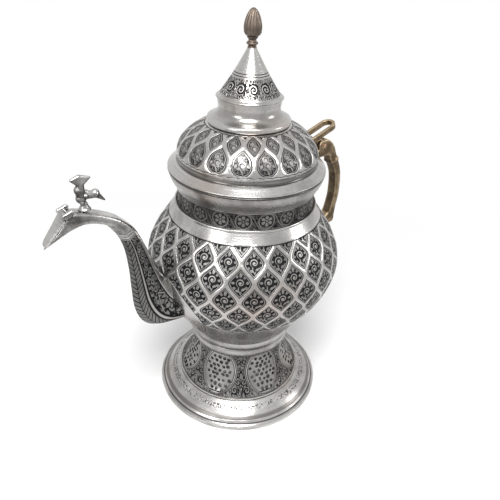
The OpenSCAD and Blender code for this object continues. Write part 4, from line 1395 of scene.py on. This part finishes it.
def bud_relief(outer):
    total = along(outer)[-1]

    def relief(angle, length):
        share = length / total
        fade = smoothstep(0.06, 0.2, share) * smoothstep(0.98, 0.8, share) * (share <= 1)
        return -GADROON_DEPTH * np.abs(np.cos(angle * GADROONS / 2)) ** 6 * fade * MM
    return relief


spun_piece("turned_collar", "knop_collar", bronze, 180, 0.6 * MM, 3 * MM)
spun_piece("ribbed_bud", "bud", bronze, 240, 0.5 * MM, 3 * MM, bud_relief)

# %% [markdown]
# ## The stem of the spout
# A smith folds the stem from sheet over a wooden core and chases it before it is fitted.  Sweeping
# one outline along a curve would be shorter, but the stem changes all the way from its broad keel
# to the arch.  So it is a loft: ribs say where its back edge and its keel are and how wide it is, a
# smooth curve runs through them, and each line of the loft starts where it leaves the belly.

# %% Ribs of the loft
SPOUT_BASE = (-123.5, 178.0)
# back edge out and up, keel out and up, width, in mm from the belly's side at the spout's root
SPOUT_RIBS = [(-36, 22, -36, -25, 50), (-13, 22, -11, -26, 48), (-6, 34, 11, -25, 45),
              (-2, 44, 27, -12, 40), (3, 56, 35.5, 11, 34), (9, 70, 37.5, 41, 29),
              (17, 89, 38.5, 69, 26), (24, 107, 42, 97, 24), (32, 123, 49, 116, 22)]
AFTER_STEM = (45, 136, 58, 129, 20.5)
# half of a rib's outline: share of the half width, share of the depth from back to keel, and where
# it lies: 0 keel, 1 ridge, 2 back edge, 3 middle of the back; the other half counts on to 6
SPOUT_OUTLINE = [(0, 1, 0), (0.5, 0.87, 0.4), (0.92, 0.7, 0.85), (1, 0.6, 1.0), (0.98, 0.3, 1.55),
                 (0.9, 0.12, 2.0), (0.62, 0.01, 2.4), (0, 0.01, 3.0)]
SPOUT_SHEET = 1.7
RIB_STEPS = 14
OUTLINE_STEPS = 7
print("ribs of the stem:", len(SPOUT_RIBS))


# %% The loft's rings
def curve_through(knots, steps):
    """A smooth curve through knots, with so many steps from knot to knot."""
    knots = np.asarray(knots, float)
    knots = np.concatenate([2 * knots[:1] - knots[1:2], knots, 2 * knots[-1:] - knots[-2:-1]])
    t = np.linspace(0, 1, steps, endpoint=False)[:, None]
    parts = [0.5 * (2 * b + (c - a) * t + (2 * a - 5 * b + 4 * c - d) * t**2
                    + (3 * b - a - 3 * c + d) * t**3)
             for a, b, c, d in zip(knots[:-3], knots[1:-2], knots[2:-1], knots[3:])]
    return np.concatenate(parts + [knots[-2:-1]])


def spout_rings(sheet):
    """Points [ring, column, xyz] of the loft in mm, all walls moved in by sheet."""
    ribs = curve_through(SPOUT_RIBS + [AFTER_STEM], RIB_STEPS)[:-RIB_STEPS]
    half = SPOUT_OUTLINE + [(-x, depth, 6 - where) for x, depth, where in SPOUT_OUTLINE[-2:0:-1]]
    outline = curve_through(half + [(0, 1, 6)], OUTLINE_STEPS)[:-1]
    back, keel, width = ribs[:, :2], ribs[:, 2:4], ribs[:, 4]
    depth = np.hypot(*(keel - back).T)
    course = (keel - back) / depth[:, None]
    reach = sheet + (depth[:, None] - 2.2 * sheet) * outline[None, :, 1]
    spot = back[:, None] + course[:, None] * reach[..., None]
    x = SPOUT_BASE[0] - spot[..., 0]
    z = SPOUT_BASE[1] + spot[..., 1]
    y = outline[None, :, 0] * (width[:, None] / 2 - sheet)
    return np.stack([x, y, z], -1), outline[:, 2]


def leave_the_belly(rings):
    """Starts every line of the loft where it leaves the belly's wall."""
    radius = np.interp(rings[..., 2], belly_line[:, 1] / MM, belly_line[:, 0] / MM)
    clear = np.hypot(rings[..., 0], rings[..., 1]) - radius
    rows = np.arange(len(rings))
    moved = rings.copy()
    for column in range(rings.shape[1]):
        hidden = np.flatnonzero(clear[:, column] < 0)
        last = hidden[-1] if len(hidden) else 0
        gap = clear[last:last + 2, column]
        start = last + gap[0] / (gap[0] - gap[1]) if gap[0] < 0 else last
        at = start + (rows[-1] - start) * np.linspace(0, 1, len(rings))
        for axis in range(3):
            moved[:, column, axis] = np.interp(at, rows, rings[:, column, axis])
    return moved


outer_rings, outline_place = spout_rings(0.0)
outer_rings = leave_the_belly(outer_rings)
inner_rings = leave_the_belly(spout_rings(SPOUT_SHEET)[0])
print("the stem's loft:", outer_rings.shape[0], "rings of", outer_rings.shape[1], "points")


# %% Stem mesh
def stem_mesh(material):
    """Outer and inner wall in one closed ring of rings.  Returns the stem's length in mm."""
    rows, columns = outer_rings.shape[:2]
    mesh = ring_mesh("engraved_stem", np.concatenate([outer_rings, inner_rings[::-1]]) * MM)
    middle = (outer_rings.mean(1) + outer_rings[:, :1].mean(1)) / 2
    length = np.concatenate([[0], np.cumsum(np.linalg.norm(np.diff(middle, axis=0), axis=1))])
    around = np.broadcast_to(np.minimum(outline_place, 6 - outline_place), (rows, columns))
    upwards = np.repeat(length[:, None], columns, 1)
    mark(mesh, "Around", [around, around])
    mark(mesh, "Upwards", [upwards, upwards[::-1]])
    mark(mesh, "Drawn", [np.ones((rows, columns)), np.zeros((rows, columns))])
    mesh.shade_smooth()
    stem = new_object("engraved_stem", mesh)
    with edited(stem) as loose:
        bmesh.ops.recalc_face_normals(loose, faces=loose.faces)
    mesh.set_sharp_from_angle(angle=SHARP)
    dress(stem, material, "spout_stem")
    return length[-1]


# %% Stem finish
STEM_LENGTH = 158.5         # mm along the middle of the stem
LEAF_STEP = 6.0             # mm from leaf to leaf on the keel
SCROLL_STEP = 15.0
CARTOUCHE_TOP = 50.0
CARTOUCHE_SLOPE = 62        # mm that its arch falls for one step of Around
SPINE, RIDGE, ARCH_TOP, FLANK = 0.42, 0.95, 1.45, 1.5       # places round the outline, in Around


def stem_finish():
    """Leaves in a herringbone on the keel, scrolls on the flanks and a cartouche at the root."""
    finish = Finish("engraved_spout")
    side = finish.xyz()[1].sign()
    around, upwards = finish.attribute("Around"), finish.attribute("Upwards")
    from_spine = abs(around - SPINE) * (25 - upwards * 0.07)
    blade = abs(((upwards - from_spine * 0.95) / LEAF_STEP).centred())
    keel = blade.ramp(0.38, 0.29) * blade.ramp(0.02, 0.07) * from_spine.ramp(0.3, 0.8)
    keel = keel * around.ramp(0.86, 0.80)
    ridge = abs(around - RIDGE).ramp(0.045, 0.025) * 0.8
    x = (around - FLANK) * (38 - upwards * 0.17)
    scroll_y = (upwards / SCROLL_STEP).centred() * SCROLL_STEP
    arm, distance = curl(x, scroll_y, (0.0, 0.0), 2.9)
    filler = leaves(finish, x + side * 90, upwards, 3.4)
    flank = (arm * distance.ramp(5.6, 5.1)).most(filler * distance.ramp(5.9, 6.4) * 0.8)
    arch = CARTOUCHE_TOP - abs(around - ARCH_TOP) * CARTOUCHE_SLOPE
    low = upwards.ramp(arch + 0.4, arch - 0.4) * around.ramp(1.02, 1.05)
    big = leaves(finish, x + side * 70, upwards, 7.0, 0.4) * 0.8
    flank = low.choose(big, flank) * abs(upwards - arch - 1.9).ramp(0.4, 0.8)
    chased = around.between(1.06, 1.76, 0.04)
    rim = abs(upwards - arch).ramp(1.3, 0.8) * chased * 0.85
    back = around.ramp(1.80, 1.84)
    pattern = (keel * 0.46).most(flank * chased * 0.6).most(rim).most(ridge).most(back)
    cross = abs(abs(upwards - (STEM_LENGTH - 5)) - 1.6).ramp(0.25, 0.55)
    plain_top = upwards.ramp(STEM_LENGTH - 8.2, STEM_LENGTH - 7.8)
    bright = finish.attribute("Drawn").choose(plain_top.choose(1.0, pattern) * cross, 1.0)
    return tin_surface(finish, bright, 0.35, rings=0.05, shade=0.10)


print("stem length in mm:", round(stem_mesh(stem_finish()), 1))

# %% [markdown]
# ## Rivets and pins
# These CAD nodes are small turned parts and already have the right shape, so they are kept and only
# get the finish of their metal.

# %% Finishes of the small parts
SMALL_PARTS = {"handle_rivets": rivet_copper, "lid_pin": rivet_copper, "strap_rivets": rivet_copper,
               "finial_stud": rivet_copper, "flap_pin": pin_steel}
for node_name, material in SMALL_PARTS.items():
    coat(nodes[node_name].data, material)
print("CAD nodes with a new finish:", len(SMALL_PARTS))
